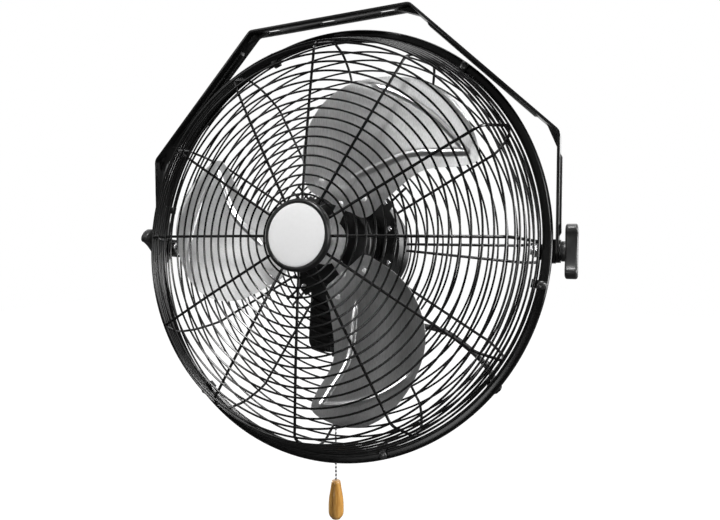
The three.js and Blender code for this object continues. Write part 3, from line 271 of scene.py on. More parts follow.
@dataclass
class Workpiece:
    """Vertices and faces of one piece, gathered in millimetres in a frame of its own."""

    name: str
    spots: list[Vector] = field(default_factory=list)
    faces: list[tuple[int, ...]] = field(default_factory=list)

    def ring(self, spots: Iterable[Vector]) -> list[int]:
        """Add vertices.

        Args:
            spots: their places.

        Returns:
            Their numbers.
        """
        start = len(self.spots)
        self.spots.extend(Vector(s) for s in spots)
        return list(range(start, len(self.spots)))

    def skin(self, rings: Sequence[Sequence[int]], closed: bool, caps: bool) -> None:
        """Join rings of vertices with quads.

        Args:
            rings: rows of vertex numbers, each running once round.
            closed: whether the last row joins the first.
            caps: whether the end rows are filled.
        """
        pairs = list(zip(rings, rings[1:]))
        if closed:
            pairs.append((rings[-1], rings[0]))
        for a, b in pairs:
            for k, corner in enumerate(a):
                n = (k + 1) % len(a)
                self.faces.append((corner, a[n], b[n], b[k]))
        if caps:
            self.faces.append(tuple(reversed(rings[0])))
            self.faces.append(tuple(rings[-1]))

    def tube(self, path: Sequence[Vector], radius: float, closed: bool = False,
             sides: int = 8) -> "Workpiece":
        """Sweep a round wire along a path.

        Args:
            path: the wire's middle line.
            radius: the wire's radius.
            closed: whether the wire joins its own start.
            sides: corners of its section.

        Returns:
            The workpiece.
        """
        rings = []
        side = None
        count = len(path)
        for i, spot in enumerate(path):
            after = path[(i + 1) % count] if closed or i < count - 1 else spot
            before = path[i - 1] if closed or i > 0 else spot
            along = (after - before).normalized()
            if side is None:
                side = along.orthogonal().normalized()
            side = (side - along * side.dot(along)).normalized()
            up = along.cross(side)
            rings.append(self.ring(spot + radius * (math.cos(a) * side + math.sin(a) * up)
                                   for a in (2 * math.pi * k / sides for k in range(sides))))
        self.skin(rings, closed, not closed)
        return self

    def lathe(self, profile: Sequence[tuple[float, float]], sides: int = 96, start: Vector = Vector(),
              axis: Vector = BACK, closed: bool = False) -> "Workpiece":
        """Turn a profile of radius and distance along an axis.

        Args:
            profile: the outline, from one end to the other.
            sides: steps round.
            start: where the axis starts.
            axis: the axis's direction.
            closed: whether the outline closes on itself, as a ring's does.

        Returns:
            The workpiece.
        """
        along = axis.normalized()
        side = along.orthogonal().normalized()
        up = along.cross(side)
        rings = []
        for radius, distance in profile:
            reach = max(radius, 0.001)
            rings.append(self.ring(start + along * distance + reach * (math.cos(a) * side + math.sin(a) * up)
                                   for a in (2 * math.pi * k / sides for k in range(sides))))
        self.skin(rings, closed, not closed)
        return self

    def sheet(self, rows: Sequence[Sequence[Vector]], offset: Vector) -> "Workpiece":
        """Thicken a grid of points into a closed sheet.

        Args:
            rows: the grid's points on one face.
            offset: from that face to the other.

        Returns:
            The workpiece.
        """
        near = [self.ring(row) for row in rows]
        far = [self.ring(spot + offset for spot in row) for row in rows]
        for grid, turn in ((near, 1), (far, -1)):
            for a, b in zip(grid, grid[1:]):
                for k in range(len(a) - 1):
                    quad = (a[k], a[k + 1], b[k + 1], b[k])
                    self.faces.append(quad[::turn])
        a, b = self.rim(near), self.rim(far)
        for k in range(len(a)):
            n = (k + 1) % len(a)
            self.faces.append((a[k], b[k], b[n], a[n]))
        return self

    @staticmethod
    def rim(grid: list[list[int]]) -> list[int]:
        """Give the vertex numbers round a grid's edge, once round."""
        return (grid[0] + [row[-1] for row in grid[1:]] + grid[-1][-2::-1]
                + [row[0] for row in grid[-2:0:-1]])

    def build(self, place: Matrix, finish: Finish, body: Body, stands_for: Sequence[str] = (),
              sharp: float = 40.0, bevel: float = 0.0) -> bpy.types.Object:
        """Make the object, finish it and let it ride on its body.

        Args:
            place: from the piece's own frame to the part's.
            finish: its surface.
            body: the body that carries it.
            stands_for: the solids that it replaces.
            sharp: edges over this angle, in degrees, stay crisp.
            bevel: width of the rounded edges, in millimetres.

        Returns:
            The object.
        """
        mesh = bpy.data.meshes.new(self.name)
        mesh.from_pydata([place @ s for s in self.spots], [], self.faces)
        return finish_object(self.name, mesh, finish, body, stands_for, sharp, bevel)


def finish_object(name: str, mesh: bpy.types.Mesh, finish: Finish, body: Body,
                  stands_for: Sequence[str], sharp: float, bevel: float) -> bpy.types.Object:
    """Clean a mesh, round its edges, and give it its finish and body.

    Args:
        name: the piece's name.
        mesh: its mesh, in metres in the part's frame.
        finish: its surface.
        body: the body that carries it.
        stands_for: the solids that it replaces.
        sharp: edges over this angle, in degrees, stay crisp.
        bevel: width of the rounded edges, in millimetres.

    Returns:
        The object.
    """
    work = bmesh.new()
    work.from_mesh(mesh)
    bmesh.ops.remove_doubles(work, verts=work.verts, dist=WELD)
    bmesh.ops.dissolve_degenerate(work, edges=work.edges, dist=WELD / 2)
    bmesh.ops.recalc_face_normals(work, faces=work.faces)
    if bevel:
        limit = math.radians(EASED_OVER)
        bmesh.ops.dissolve_limit(work, angle_limit=math.radians(1), verts=work.verts, edges=work.edges)
        edges = [e for e in work.edges if len(e.link_faces) == 2 and e.calc_face_angle(0) > limit]
        bmesh.ops.bevel(work, geom=edges, offset=bevel * MM, segments=2, profile=0.6, affect="EDGES",
                        clamp_overlap=True)
    for f in work.faces:
        f.smooth = True
    work.to_mesh(mesh)
    work.free()
    mesh.set_sharp_from_angle(angle=math.radians(sharp))
    mesh.materials.clear()
    mesh.materials.append(finish.material())
    piece = bpy.data.objects.new(name, mesh)
    bpy.context.scene.collection.objects.link(piece)
    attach(piece, body.value)
    if stands_for:
        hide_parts(*stands_for)
    log.info("%s: %d faces", name, len(mesh.polygons))
    return piece


# ---------------------------------------------------------------- sub-assemblies
Angle = Callable[[float], float]


def straight(turn: float) -> Angle:
    """Give a spoke that keeps one angle.

    Args:
        turn: the angle, in radians.

    Returns:
        The angle by radius.
    """
    def angle(radius: float) -> float:
        """Give the same angle at every radius."""
        return turn
    return angle


def leaning(start: float, end: float, first: float, last: float) -> Angle:
    """Give a spoke that drops beside the radius.

    Args:
        start: its height over the axis at the first radius.
        end: its height at the last radius.
        first: the first radius.
        last: the last radius.

    Returns:
        The angle by radius.
    """
    def angle(radius: float) -> float:
        """Give the spoke's angle at a radius."""
        return math.asin((start + (end - start) * (radius - first) / (last - first)) / radius)
    return angle


def mirrored(spoke: Angle) -> Angle:
    """Give a spoke's mirror image on the left side.

    Args:
        spoke: the angle by radius on the right side.

    Returns:
        The angle by radius.
    """
    def angle(radius: float) -> float:
        """Give the mirrored angle at a radius."""
        return math.pi - spoke(radius)
    return angle


@dataclass
class WireGuard:
    """One welded guard: rings on the outside of its spokes.

    Fields: name is the solid that the guard replaces, facing is -1 to the front and 1 to the back,
    stations holds each ring's radius and y, and spokes holds each spoke's angle by radius with its
    first and last station. The wires' sizes are radii, and ring_lift and spoke_drop are how far
    the rings lie outside and the spokes inside the stations. Steps are those round a ring.
    """

    name: str
    facing: int
    stations: list[tuple[float, float]]
    spokes: list[tuple[Angle, int, int]]
    ring_wire: float = 1.25
    spoke_wire: float = 1.7
    ring_lift: float = 0.75
    spoke_drop: float = 1.1
    steps: int = 132

    def normal(self, k: int) -> Vector:
        """Give the guard's outward direction at a station.

        Args:
            k: the station's number.

        Returns:
            The direction, as radius and y.
        """
        a = self.stations[max(k - 1, 0)]
        b = self.stations[min(k + 1, len(self.stations) - 1)]
        along = Vector((b[0] - a[0], b[1] - a[1])).normalized()
        return Vector((-along.y * self.facing, along.x * self.facing))

    def build(self) -> None:
        """Weld the rings and the spokes into one piece."""
        work = Workpiece(f"{self.name}_wires")
        for k, (radius, y) in enumerate(self.stations):
            out = self.normal(k) * self.ring_lift
            path = [polar(radius + out.x, 360 * i / self.steps, y + out.y) for i in range(self.steps)]
            work.tube(path, self.ring_wire, closed=True, sides=7)
        for angle, first, last in self.spokes:
            path = []
            for k in range(first, last + 1):
                radius, y = self.stations[k]
                back = self.normal(k) * -self.spoke_drop
                path.append(polar(radius + back.x, math.degrees(angle(radius)), y + back.y))
            dense = [smooth_path(path, i / (3 * len(path))) for i in range(3 * len(path) + 1)]
            work.tube(dense, self.spoke_wire)
        work.build(CAGE, BLACK_ENAMEL, Body.HEAD, (self.name,))
        log.info("%s: %d rings, %d spokes", self.name, len(self.stations), len(self.spokes))


@dataclass
class Cage:
    """The ring with both guards, their clips and screws, and the badge.

    Fields: first, depth, crown and count give each guard's first face ring, its depth, how far its
    face crowns and its number of face rings, and crown_power how late the crown bends. The shares
    are of that depth, and rear_sides holds the rear guard's side rings, as shares of the shoulder
    and of the depth. split_heights holds the start and end heights of the two wires that each side
    spoke of the rear guard splits into. clip_start and brace_spread are in degrees. bezel_back is
    the thickness of the bezel's back, bezel_inset how far its hole is inside the first face ring,
    and the disc's sizes are its seat and rim in front of the spokes and its dome's height.
    """

    ring_radius: float = 270
    ring_width: float = 11
    ring_depth: float = 9
    ring_round: float = 3.4
    pitch: float = 11.3
    rim_radius: float = 255.8
    wire_width: float = 3.2
    gap: float = 0.3
    front_first: float = 37.1
    front_depth: float = 61
    front_crown: float = 10
    crown_power: float = 2.2
    front_count: int = 18
    rear_first: float = 113.4
    rear_depth: float = 60.4
    rear_count: int = 11
    spokes: int = 12
    split_heights: tuple[tuple[float, float], ...] = ((2.5, 1.5), (-5.5, -20.5))
    shoulder_reach: float = 7.45
    shoulder_share: float = 0.72
    foot_share: float = 0.1
    rear_shoulder: float = 29.4
    rear_sides: tuple[tuple[float, float], ...] = ((0.64, 0.86), (0.33, 0.66), (0.12, 0.47))
    brace_length: float = 28.4
    brace_spread: float = 3
    spoke_width: float = 3.4
    bezel_radius: float = 42
    bezel_height: float = 8
    bezel_back: float = 4
    bezel_inset: float = 4
    disc_radius: float = 36.5
    disc_seat: float = 4.3
    disc_rim: float = 6.8
    disc_dome: float = 1.7
    clip_start: float = -10
    clips: int = 6
    clip_reach: float = 3.1
    clip_sheet: float = 1.2
    clip_bend: float = 1.6
    clip_width: float = 9.4
    screw_circle: float = 264

    def even_spokes(self, last: int) -> list[tuple[Angle, int, int]]:
        """Give the evenly spaced spokes that end at a station."""
        return [(straight(i * 2 * math.pi / self.spokes), 0, last) for i in range(self.spokes)]

    def front_guard(self) -> None:
        """Build the front guard from its nearly flat face to its rim."""
        face_end = self.front_first + self.pitch * (self.front_count - 1)
        stations = []
        for k in range(self.front_count):
            radius = self.front_first + self.pitch * k
            rise = self.front_crown * (radius / face_end) ** self.crown_power
            stations.append((radius, rise - self.front_depth))
        shoulder = Vector((face_end + self.shoulder_reach, -self.shoulder_share * self.front_depth))
        foot = Vector((self.rim_radius - self.gap, -self.foot_share * self.front_depth))
        stations += [tuple(shoulder.lerp(foot, k / 5)) for k in range(6)]
        stations.append((self.rim_radius, self.wire_width / 2 + self.gap))
        WireGuard("front_guard", -1, stations, self.even_spokes(len(stations) - 1)).build()

    def rear_guard(self) -> None:
        """Build the rear guard, with its split side spokes and short braces."""
        stations = [(self.rear_first - self.brace_length * k / 3, self.rear_depth) for k in (3, 2, 1)]
        stations += [(self.rear_first + self.pitch * k, self.rear_depth) for k in range(self.rear_count)]
        stations += [(self.rim_radius - self.rear_shoulder * to_go, deep * self.rear_depth)
                     for to_go, deep in self.rear_sides]
        stations.append((self.rim_radius, self.ring_depth - self.wire_width / 2 - self.gap))
        last = len(stations) - 1
        spokes = [s for i, s in enumerate(self.even_spokes(last)) if i % (self.spokes // 2)]
        for start, end in self.split_heights:
            split = leaning(start, end, stations[0][0], self.rim_radius)
            spokes += [(split, 0, last), (mirrored(split), 0, last)]
        for diagonal in (45, 135, 225, 315):
            for side in (-self.brace_spread, self.brace_spread):
                spokes.append((straight(math.radians(diagonal + side)), 0, 3))
        WireGuard("rear_guard", 1, stations, spokes).build()

    def ring(self) -> None:
        """Turn the guard ring with well rounded corners."""
        inner, outer = self.ring_radius - self.ring_width, self.ring_radius
        r = self.ring_round
        corners = [(inner + r, r, 180), (outer - r, r, 270), (outer - r, self.ring_depth - r, 0),
                   (inner + r, self.ring_depth - r, 90)]
        profile = []
        for x, y, start in corners:
            for k in range(6):
                a = math.radians(start + 18 * k)
                profile.append((x + r * math.cos(a), y + r * math.sin(a)))
        work = Workpiece("guard_ring_tube")
        work.lathe(profile, sides=240, closed=True)
        work.build(CAGE, BLACK_ENAMEL, Body.HEAD, ("guard_ring",))

    def clip(self, number: int) -> None:
        """Bend one clip over the ring's front and round both rims.

        Args:
            number: the clip's number, from 1.
        """
        turn = self.clip_start + 360 * (number - 1) / self.clips
        half, bend = self.clip_sheet / 2, self.clip_bend
        inside = self.rim_radius - self.clip_reach + half
        front, back = -self.gap - half, self.ring_depth + self.gap + half
        line = [Vector((self.ring_radius - 2, front))]
        for radius, y, start in ((inside + bend, front + bend, 270), (inside + bend, back - bend, 180)):
            for k in range(6):
                a = math.radians(start - 18 * k)
                line.append(Vector((radius + bend * math.cos(a), y + bend * math.sin(a))))
        line.append(Vector((self.rim_radius + 1, back)))
        across = polar(1, turn + 90, 0) * self.clip_width / 2
        work = Workpiece(f"guard_clip_{number}_strap")
        rings = []
        for i, spot in enumerate(line):
            along = (line[min(i + 1, len(line) - 1)] - line[max(i - 1, 0)]).normalized()
            out = Vector((along.y, -along.x)) * half
            near, far = spot + out, spot - out
            a, b = polar(near.x, turn, near.y), polar(far.x, turn, far.y)
            rings.append(work.ring((a - across, a + across, b + across, b - across)))
        work.skin(rings, False, True)
        work.build(CAGE, BLACK_PAINT, Body.HEAD, (f"guard_clip_{number}",), sharp=35, bevel=0.25)

    def clip_screws(self) -> None:
        """Set a cross-head screw on each clip."""
        for i in range(self.clips):
            angle = self.clip_start + 360 * i / self.clips
            seat = polar(self.screw_circle, angle, -self.gap - self.clip_sheet)
            screw(f"clip_screw_{i + 1}", seat, FRONT, 4.6, 2.4, BLACKED_SCREW, CAGE)

    def badge(self) -> None:
        """Turn the badge's bezel and its bare, slightly domed disc."""
        back = -self.front_depth - self.spoke_width * 2 / 3 - self.gap
        face = back - self.bezel_height
        socket, hole = self.disc_radius + self.gap, self.front_first - self.bezel_inset
        bezel = Workpiece("hub_bezel_rim")
        bezel.lathe([(socket, back - self.bezel_back), (socket, face + 0.6),
                     (self.disc_radius + 0.9, face), (self.bezel_radius - 2.6, face),
                     (self.bezel_radius - 0.9, face + 0.9), (self.bezel_radius, face + 2.6),
                     (self.bezel_radius, back), (hole, back), (hole, back - self.bezel_back)], closed=True)
        bezel.build(CAGE, PLASTIC, Body.HEAD, ("hub_bezel",), sharp=50)
        disc = Workpiece("hub_disc_face")
        rim, seat = back - self.disc_rim, back - self.disc_seat
        dome = [(self.disc_radius * math.sin(a), rim - self.disc_dome * math.cos(a))
                for a in (math.radians(9 * k) for k in range(11))]
        disc.lathe(dome + [(self.disc_radius, seat), (0, seat)])
        disc.build(CAGE, WHITE, Body.HEAD, ("hub_disc",), sharp=50)

    def build(self) -> None:
        """Build the whole cage."""
        self.front_guard()
        self.rear_guard()
        self.ring()
        for number in range(1, self.clips + 1):
            self.clip(number)
        self.clip_screws()
        self.badge()


def screw(name: str, spot: Vector, axis: Vector, radius: float, height: float, finish: Finish,
          place: Matrix, body: Body = Body.HEAD) -> None:
    """Make a pan-head screw with a cross recess.

    Args:
        name: the piece's name.
        spot: the middle of its seat.
        axis: the way its head points.
        radius: the head's radius.
        height: the head's height.
        finish: its surface.
        place: the frame that spot is given in.
        body: the body that carries it.
    """
    work = Workpiece(name)
    dome = [(radius * math.sin(math.radians(a)), height * (0.35 + 0.65 * math.cos(math.radians(a))))
            for a in range(90, 17, -12)]
    work.lathe([(0, 0), (radius, 0)] + dome + [(radius * 0.3, height), (radius * 0.22, height * 0.55),
               (0, height * 0.5)], sides=28, start=spot, axis=axis)
    work.build(place, finish, body, sharp=35)


def step(value: float, low: float, high: float) -> float:
    """Rise smoothly from 0 to 1.

    Args:
        value: the value.
        low: where the rise starts.
        high: where it ends.

    Returns:
        The height, from 0 to 1.
    """
    s = min(max((value - low) / (high - low), 0), 1)
    return s * s * (3 - 2 * s)


@dataclass
class Rotor:
    """The pressed blades, each riveted to the spider.

    Fields: first_arm is the first blade's angle in degrees, sheet the blades' thickness, bead and
    bead_width the height and half width of a pressed bead. Leading and trailing hold points along
    the edges, as radius, degrees and y. Places on a blade are a share of its length, t, and of its
    width, u. The long bead rises at bead_start and ends after bead_end, each over bead_fade. Its u
    drops by crest_swing to crest_end, from crest_start on, and crest_fall says how slowly. tip_bead
    is the other bead's t, and it rises and falls over two spans of u. surface_length turns t into
    millimetres, and rivets holds the rivets' places. The grid has rows along a blade and columns
    across it, of which one, crest_column, follows the long bead, and crowding draws the others
    towards it.
    """

    arms: int = 3
    first_arm: float = 65
    sheet: float = 1.3
    bead: float = 2.6
    bead_width: float = 3.0
    rows: int = 112
    columns: int = 72
    crest_column: int = 24
    crowding: float = 1.5
    leading: tuple[Point, ...] = ((47, -12, 3), (57, -33, 9), (90, -30, 12), (144, -29, 12),
                                  (190, -37, 11), (212, -37.5, 8), (222, -30, 1), (227.5, -21, -6))
    trailing: tuple[Point, ...] = ((47, 12, -3), (62, 38, -15), (88, 38, -26), (140, 30, -30),
                                   (182, 17, -28), (205, 4, -24), (222, -9, -18), (228, -17, -10))
    crest_start: float = 0.286
    crest_end: float = 0.07
    crest_swing: float = 0.35
    crest_fall: float = 0.12
    bead_start: float = 0.27
    bead_end: float = 0.63
    bead_fade: float = 0.05
    tip_bead: float = 0.645
    tip_bead_rise: tuple[float, float] = (0.03, 0.14)
    tip_bead_fall: tuple[float, float] = (0.78, 0.95)
    surface_length: float = 290
    rivets: tuple[tuple[float, float], ...] = ((0.05, 0.5), (0.215, 0.21), (0.215, 0.8))
    rivet_radius: float = 4.1

    def crest(self, t: float) -> float:
        """Give where the long bead crosses the blade, from leading to trailing edge."""
        return self.crest_end + self.crest_swing * math.exp(-max(t - self.crest_start, 0) / self.crest_fall)

    def spot(self, t: float, u: float) -> Point:
        """Give the blade's radius, degrees and y at a place on its sheet."""
        return smooth_path(self.leading, t).lerp(smooth_path(self.trailing, t), u)

    def pressed(self, t: float, u: float, chord: float) -> float:
        """Give how far the beads stand out at a place on the blade.

        Args:
            t: from the root to the tip.
            u: from the leading to the trailing edge.
            chord: the blade's width there, in millimetres.

        Returns:
            The height in millimetres.
        """
        across = (u - self.crest(t)) * chord
        long_bead = math.exp(-(across / self.bead_width) ** 2)
        long_bead *= step(t, self.bead_start, self.bead_start + self.bead_fade)
        long_bead *= 1 - step(t, self.bead_end, self.bead_end + self.bead_fade)
        away = (t - self.tip_bead) * self.surface_length
        tip_bead = math.exp(-(away / self.bead_width) ** 2)
        tip_bead *= step(u, *self.tip_bead_rise) * (1 - step(u, *self.tip_bead_fall))
        return self.bead * max(long_bead, tip_bead)

    def column_place(self, column: int, crest: float) -> float:
        """Give where a grid column crosses the blade, so that one column runs along the long bead.

        Args:
            column: the column's number.
            crest: where the long bead's crest is, from 0 to 1.

        Returns:
            The place, from 0 at the leading edge to 1 at the trailing edge.
        """
        if column <= self.crest_column:
            return crest * (1 - (1 - column / self.crest_column) ** self.crowding)
        share = (column - self.crest_column) / (self.columns - self.crest_column)
        return crest + (1 - crest) * share ** self.crowding

    def blade(self, number: int) -> None:
        """Press one blade and rivet it to its arm.

        Args:
            number: the blade's number, from 0.
        """
        turn = self.first_arm + number * 360 / self.arms
        rows = []
        for i in range(self.rows + 1):
            t = i / self.rows
            a, b = self.spot(t, 0), self.spot(t, 1)
            chord = abs(math.radians(b[1] - a[1])) * (a[0] + b[0]) / 2
            row = []
            for k in range(self.columns + 1):
                u = self.column_place(k, self.crest(t))
                radius, degrees, y = self.spot(t, u)
                row.append(polar(radius, turn + degrees, y - self.pressed(t, u, chord) - self.sheet / 2))
            rows.append(row)
        work = Workpiece(f"blade_{number + 1}_sheet")
        work.sheet(rows, Vector((0, self.sheet, 0)))
        work.build(CAGE, ALUMINIUM, Body.ROTOR, (f"blade_{number + 1}",), sharp=50)
        for n, (t, u) in enumerate(self.rivets):
            radius, degrees, y = self.spot(t, u)
            rivet(f"blade_{number + 1}_rivet_{n + 1}",
                  polar(radius, turn + degrees, y - self.sheet / 2), self.rivet_radius)

    def build(self) -> None:
        """Press all the blades."""
        for number in range(self.arms):
            self.blade(number)


def rivet(name: str, spot: Vector, radius: float) -> None:
    """Set a domed rivet head on the front of a blade.

    Args:
        name: the piece's name.
        spot: the middle of its seat.
        radius: the head's radius.
    """
    height, sunk = radius * 0.45, -0.3
    dome = [(radius * math.sin(math.radians(a)), height * math.cos(math.radians(a)))
            for a in range(90, -1, -15)]
    work = Workpiece(name)
    work.lathe([(0, sunk), (radius, sunk)] + dome, sides=20, start=spot, axis=FRONT)
    work.build(CAGE, RIVET, Body.ROTOR)


@dataclass
class Motor:
    """The motor's two housings and the screws of its mounting plate and switch box.

    Fields: start and end are places along the axis, shoulder the radius of a housing's rounded
    edge, wall and face the thickness of its side and end, and seat the bearing's seat inside it.
    The screws' places are X and Z.
    """

    front_radius: float = 54
    rear_radius: float = 74
    front_start: float = 20
    plate_start: float = 56.3
    rear_start: float = 59.2
    rear_end: float = 122
    cover_face: float = 110.3
    shoulder: float = 7
    wall: float = 2.5
    face: float = 2.6
    shaft_hole: float = 7
    seat_radius: float = 16
    seat_bore: float = 13.3
    seat_depth: float = 11.4
    plate_circle: float = 80.5
    stator_screws: tuple[tuple[float, float], ...] = ((65, 22), (65, -22), (-65, 22), (-65, -22))
    cover_screws: tuple[tuple[float, float], ...] = ((-44, -132), (40, -132), (-44, -84), (40, -84))

    def bell(self, name: str, radius: float, closed: float, mouth: float) -> None:
        """Turn a housing with a rounded shoulder, a rolled lip and a raised bearing seat.

        Args:
            name: the solid that it replaces.
            radius: its outer radius.
            closed: y of its closed end.
            mouth: y of its open end.
        """
        way = math.copysign(1, mouth - closed)
        profile = [(self.shaft_hole, 0), (15, 0), (16, 0.8), (22, 0.8), (23, 0),
                   (radius - self.shoulder - 6, 0)]
        for a in range(0, 91, 10):
            profile.append((radius - self.shoulder + self.shoulder * math.sin(math.radians(a)),
                            self.shoulder - self.shoulder * math.cos(math.radians(a))))
        depth = abs(mouth - closed)
        profile += [(radius, depth - 2.2), (radius - 0.6, depth - 1.6), (radius, depth - 1), (radius, depth),
                    (radius - self.wall, depth), (radius - self.wall, self.shoulder),
                    (radius - self.shoulder, self.face), (self.seat_radius, self.face),
                    (self.seat_radius, self.seat_depth), (self.seat_bore, self.seat_depth),
                    (self.seat_bore, self.face), (self.shaft_hole, self.face)]
        work = Workpiece(f"{name}_casting")
        work.lathe([(r, closed + way * d) for r, d in profile], closed=True)
        work.build(CAGE, BLACK_PAINT, Body.HEAD, (name,), sharp=38)

    def build(self) -> None:
        """Build both bells and set the plate's screws."""
        self.bell("motor_front_bell", self.front_radius, self.front_start, self.plate_start - 0.3)
        self.bell("motor_rear_bell", self.rear_radius, self.rear_end, self.rear_start)
        for i in range(4):
            seat = polar(self.plate_circle, 45 + 90 * i, self.plate_start)
            screw(f"plate_screw_{i + 1}", seat, FRONT, 4, 2.6, ZINC, CAGE)
        for i, (x, z) in enumerate(self.stator_screws):
            screw(f"stator_screw_{i + 1}", Vector((x, self.plate_start, z)), FRONT, 3.6, 2.4, ZINC, CAGE)
        for i, (x, z) in enumerate(self.cover_screws):
            screw(f"cover_screw_{i + 1}", Vector((x, self.cover_face, z)), BACK, 3, 1.8, ZINC, CAGE)


@dataclass
class PullChain:
    """The bead chain and its turned handle, hanging plumb.

    Fields: hang is the stem's lower end, gap is between it and the chain, and handle_shape holds the
    handle's share of its full radius at each share of its length, below its top.
    """

    hang: Point = (-21, 59.1802, -441.0966)
    length: float = 175
    beads: int = 32
    bead_radius: float = 1.6
    link_radius: float = 0.5
    gap: float = 0.5
    handle_length: float = 55
    handle_radius: float = 10.8
    top_radius: float = 6.2
    handle_shape: tuple[tuple[float, float], ...] = ((0.72, 0.2), (0.93, 0.45), (1, 0.7),
                                                     (0.93, 0.88), (0.6, 0.975))

    def chain(self) -> None:
        """String the beads."""
        work = Workpiece("bead_chain_beads")
        pitch = self.length / self.beads
        down = Vector((0, 0, -1))
        start = Vector(self.hang)
        for i in range(self.beads):
            middle = self.gap + (i + 0.5) * pitch
            angles = [math.radians(a) for a in range(0, 181, 22)]
            ball = [(self.bead_radius * math.sin(a), middle - self.bead_radius * math.cos(a)) for a in angles]
            work.lathe(ball, sides=12, start=start, axis=down)
        end = self.gap + self.length
        links = [(0, self.gap), (self.link_radius, self.gap), (self.link_radius, end), (0, end)]
        work.lathe(links, sides=8, start=start, axis=down)
        work.build(ROW, CHAIN_NICKEL, Body.CHAIN, ("bead_chain",), sharp=60)

    def handle(self) -> None:
        """Turn the handle: slim at the top, fullest low down, with a round end."""
        top = self.length + self.gap + 0.3
        knots = [(self.top_radius, top, 0)]
        knots += [(radius * self.handle_radius, top + share * self.handle_length, 0)
                  for radius, share in self.handle_shape]
        outline = [smooth_path(knots, k / 40) for k in range(41)]
        profile = [(0, top), (self.top_radius - 0.6, top), (self.top_radius - 0.1, top + 0.4)]
        profile += [(p.x, p.y) for p in outline[1:]]
        profile += [(0.35 * self.handle_radius, top + self.handle_length * 0.994),
                    (0, top + self.handle_length)]
        work = Workpiece("pull_handle_wood")
        work.lathe(profile, sides=56, start=Vector(self.hang), axis=Vector((0, 0, -1)))
        work.build(ROW, OAK, Body.CHAIN, ("pull_handle",), sharp=45)

    def build(self) -> None:
        """Build the chain and its handle."""
        self.chain()
        self.handle()


@dataclass
class MotorLead:
    """The sheathed lead from the switch box to the ring, tied twice to the guard.

    Fields: route is the middle line, steps its fineness, and ties the steps where it is tied. A
    tie's loop reaches past the lead by tie_wide and tie_high, and its middle is tie_lift from the
    lead's.
    """

    radius: float = 3.5
    steps: int = 90
    ties: tuple[int, ...] = (40, 60)
    tie_wire: float = 0.9
    tie_wide: float = 0.6
    tie_high: float = 2.4
    tie_lift: float = 2.3
    route: tuple[Point, ...] = ((41.5, 88, -104), (50, 88, -104), (58.3, 88, -104), (84, 76, -100),
                                (112, 68.5, -101), (142, 68, -107), (166, 68, -121), (186, 65, -136),
                                (200, 53, -148), (208.24, 35.3, -156.88), (211.24, 24.3, -159.18),
                                (211.24, 15.8, -159.18))

    def build(self) -> None:
        """Run the lead and tie it to the guard's wires."""
        path = [smooth_path(self.route, i / self.steps) for i in range(self.steps + 1)]
        work = Workpiece("motor_lead_sheath")
        work.tube(path, self.radius, sides=16)
        work.build(CAGE, LEAD, Body.HEAD, ("motor_lead",))
        for n, i in enumerate(self.ties):
            at, along = path[i], (path[i + 1] - path[i - 1]).normalized()
            tie = Workpiece(f"lead_tie_{n + 1}")
            side = along.cross(BACK).normalized()
            up = side.cross(along)
            wide, high = self.radius + self.tie_wide, self.radius + self.tie_high
            loop = [at + side * wide * math.cos(a) + up * (self.tie_lift + high * math.sin(a))
                    for a in (2 * math.pi * k / 28 for k in range(28))]
            tie.tube(loop, self.tie_wire, closed=True, sides=6)
            tie.build(CAGE, PLASTIC, Body.HEAD)


@dataclass
class Knob:
    """A wing knob on one end of the tilt axis.

    Fields: name is the solid that it replaces, side is 1 for the right and -1 for the left, turn is
    its angle in radians, end and waist are the wing's widths, waist_share and flare_share are where
    on its half length the curve bends and reaches the full width, and boss_start and wing_start
    are places along the axis. edge is the radius of the wing's rounded edges.
    """

    name: str
    body: Body
    side: int
    turn: float
    length: float = 59
    end: float = 24
    waist: float = 15
    waist_share: float = 0.5
    flare_share: float = 0.72
    thick: float = 13
    edge: float = 2.6
    boss_start: float = 277.6
    wing_start: float = 281.6
    boss: tuple[tuple[float, float], ...] = ((0, 3), (4.3, 3), (4.3, 0), (10.4, 0), (11, 0.6), (11, 4.6),
                                             (0, 4.6))

    def outline(self) -> list[Vector]:
        """Give the wing's outline as seen along the axis.

        Returns:
            Points of X sideways and Y lengthways.
        """
        e, w, h = self.end / 2, self.waist / 2, self.length / 2
        n, m = h * self.waist_share, h * self.flare_share
        spans = [((-w, 0), (-w, n), (-e, m)), ((-e, m), (-e, h), (0, h)), ((0, h), (e, h), (e, m)),
                 ((e, m), (w, n), (w, 0)), ((w, 0), (w, -n), (e, -m)), ((e, -m), (e, -h), (0, -h)),
                 ((0, -h), (-e, -h), (-e, -m)), ((-e, -m), (-w, -n), (-w, 0))]
        points = []
        for a, b, c in spans:
            a, b, c = Vector(a), Vector(b), Vector(c)
            points += [a * (1 - t) ** 2 + b * 2 * t * (1 - t) + c * t ** 2
                       for t in (k / 7 for k in range(7))]
        return points

    def build(self) -> None:
        """Mould the wing in layers with rounded edges, over its boss."""
        work = Workpiece(f"{self.name}_moulding")
        r = self.edge
        rings = []
        stations = [(k * r / 4, r - math.sqrt(max(r * r - (r - k * r / 4) ** 2, 0))) for k in range(5)]
        stations += [(self.thick - d, inset) for d, inset in reversed(stations)]
        cos, sin = math.cos(self.turn), math.sin(self.turn)
        for depth, inset in stations:
            shrink_x = 1 - inset / (self.end / 2)
            shrink_y = 1 - inset / (self.length / 2)
            spots = []
            for p in self.outline():
                y, z = p.x * shrink_x, p.y * shrink_y
                x = self.side * (self.wing_start + depth)
                spots.append(Vector((x, y * cos - z * sin, y * sin + z * cos)))
            rings.append(work.ring(spots))
        work.skin(rings, False, True)
        work.lathe(self.boss, sides=48, start=Vector((self.side * self.boss_start, 0, 0)),
                   axis=Vector((self.side, 0, 0)))
        work.build(HEAD, KNOB_PLASTIC, self.body, (self.name,), sharp=45)


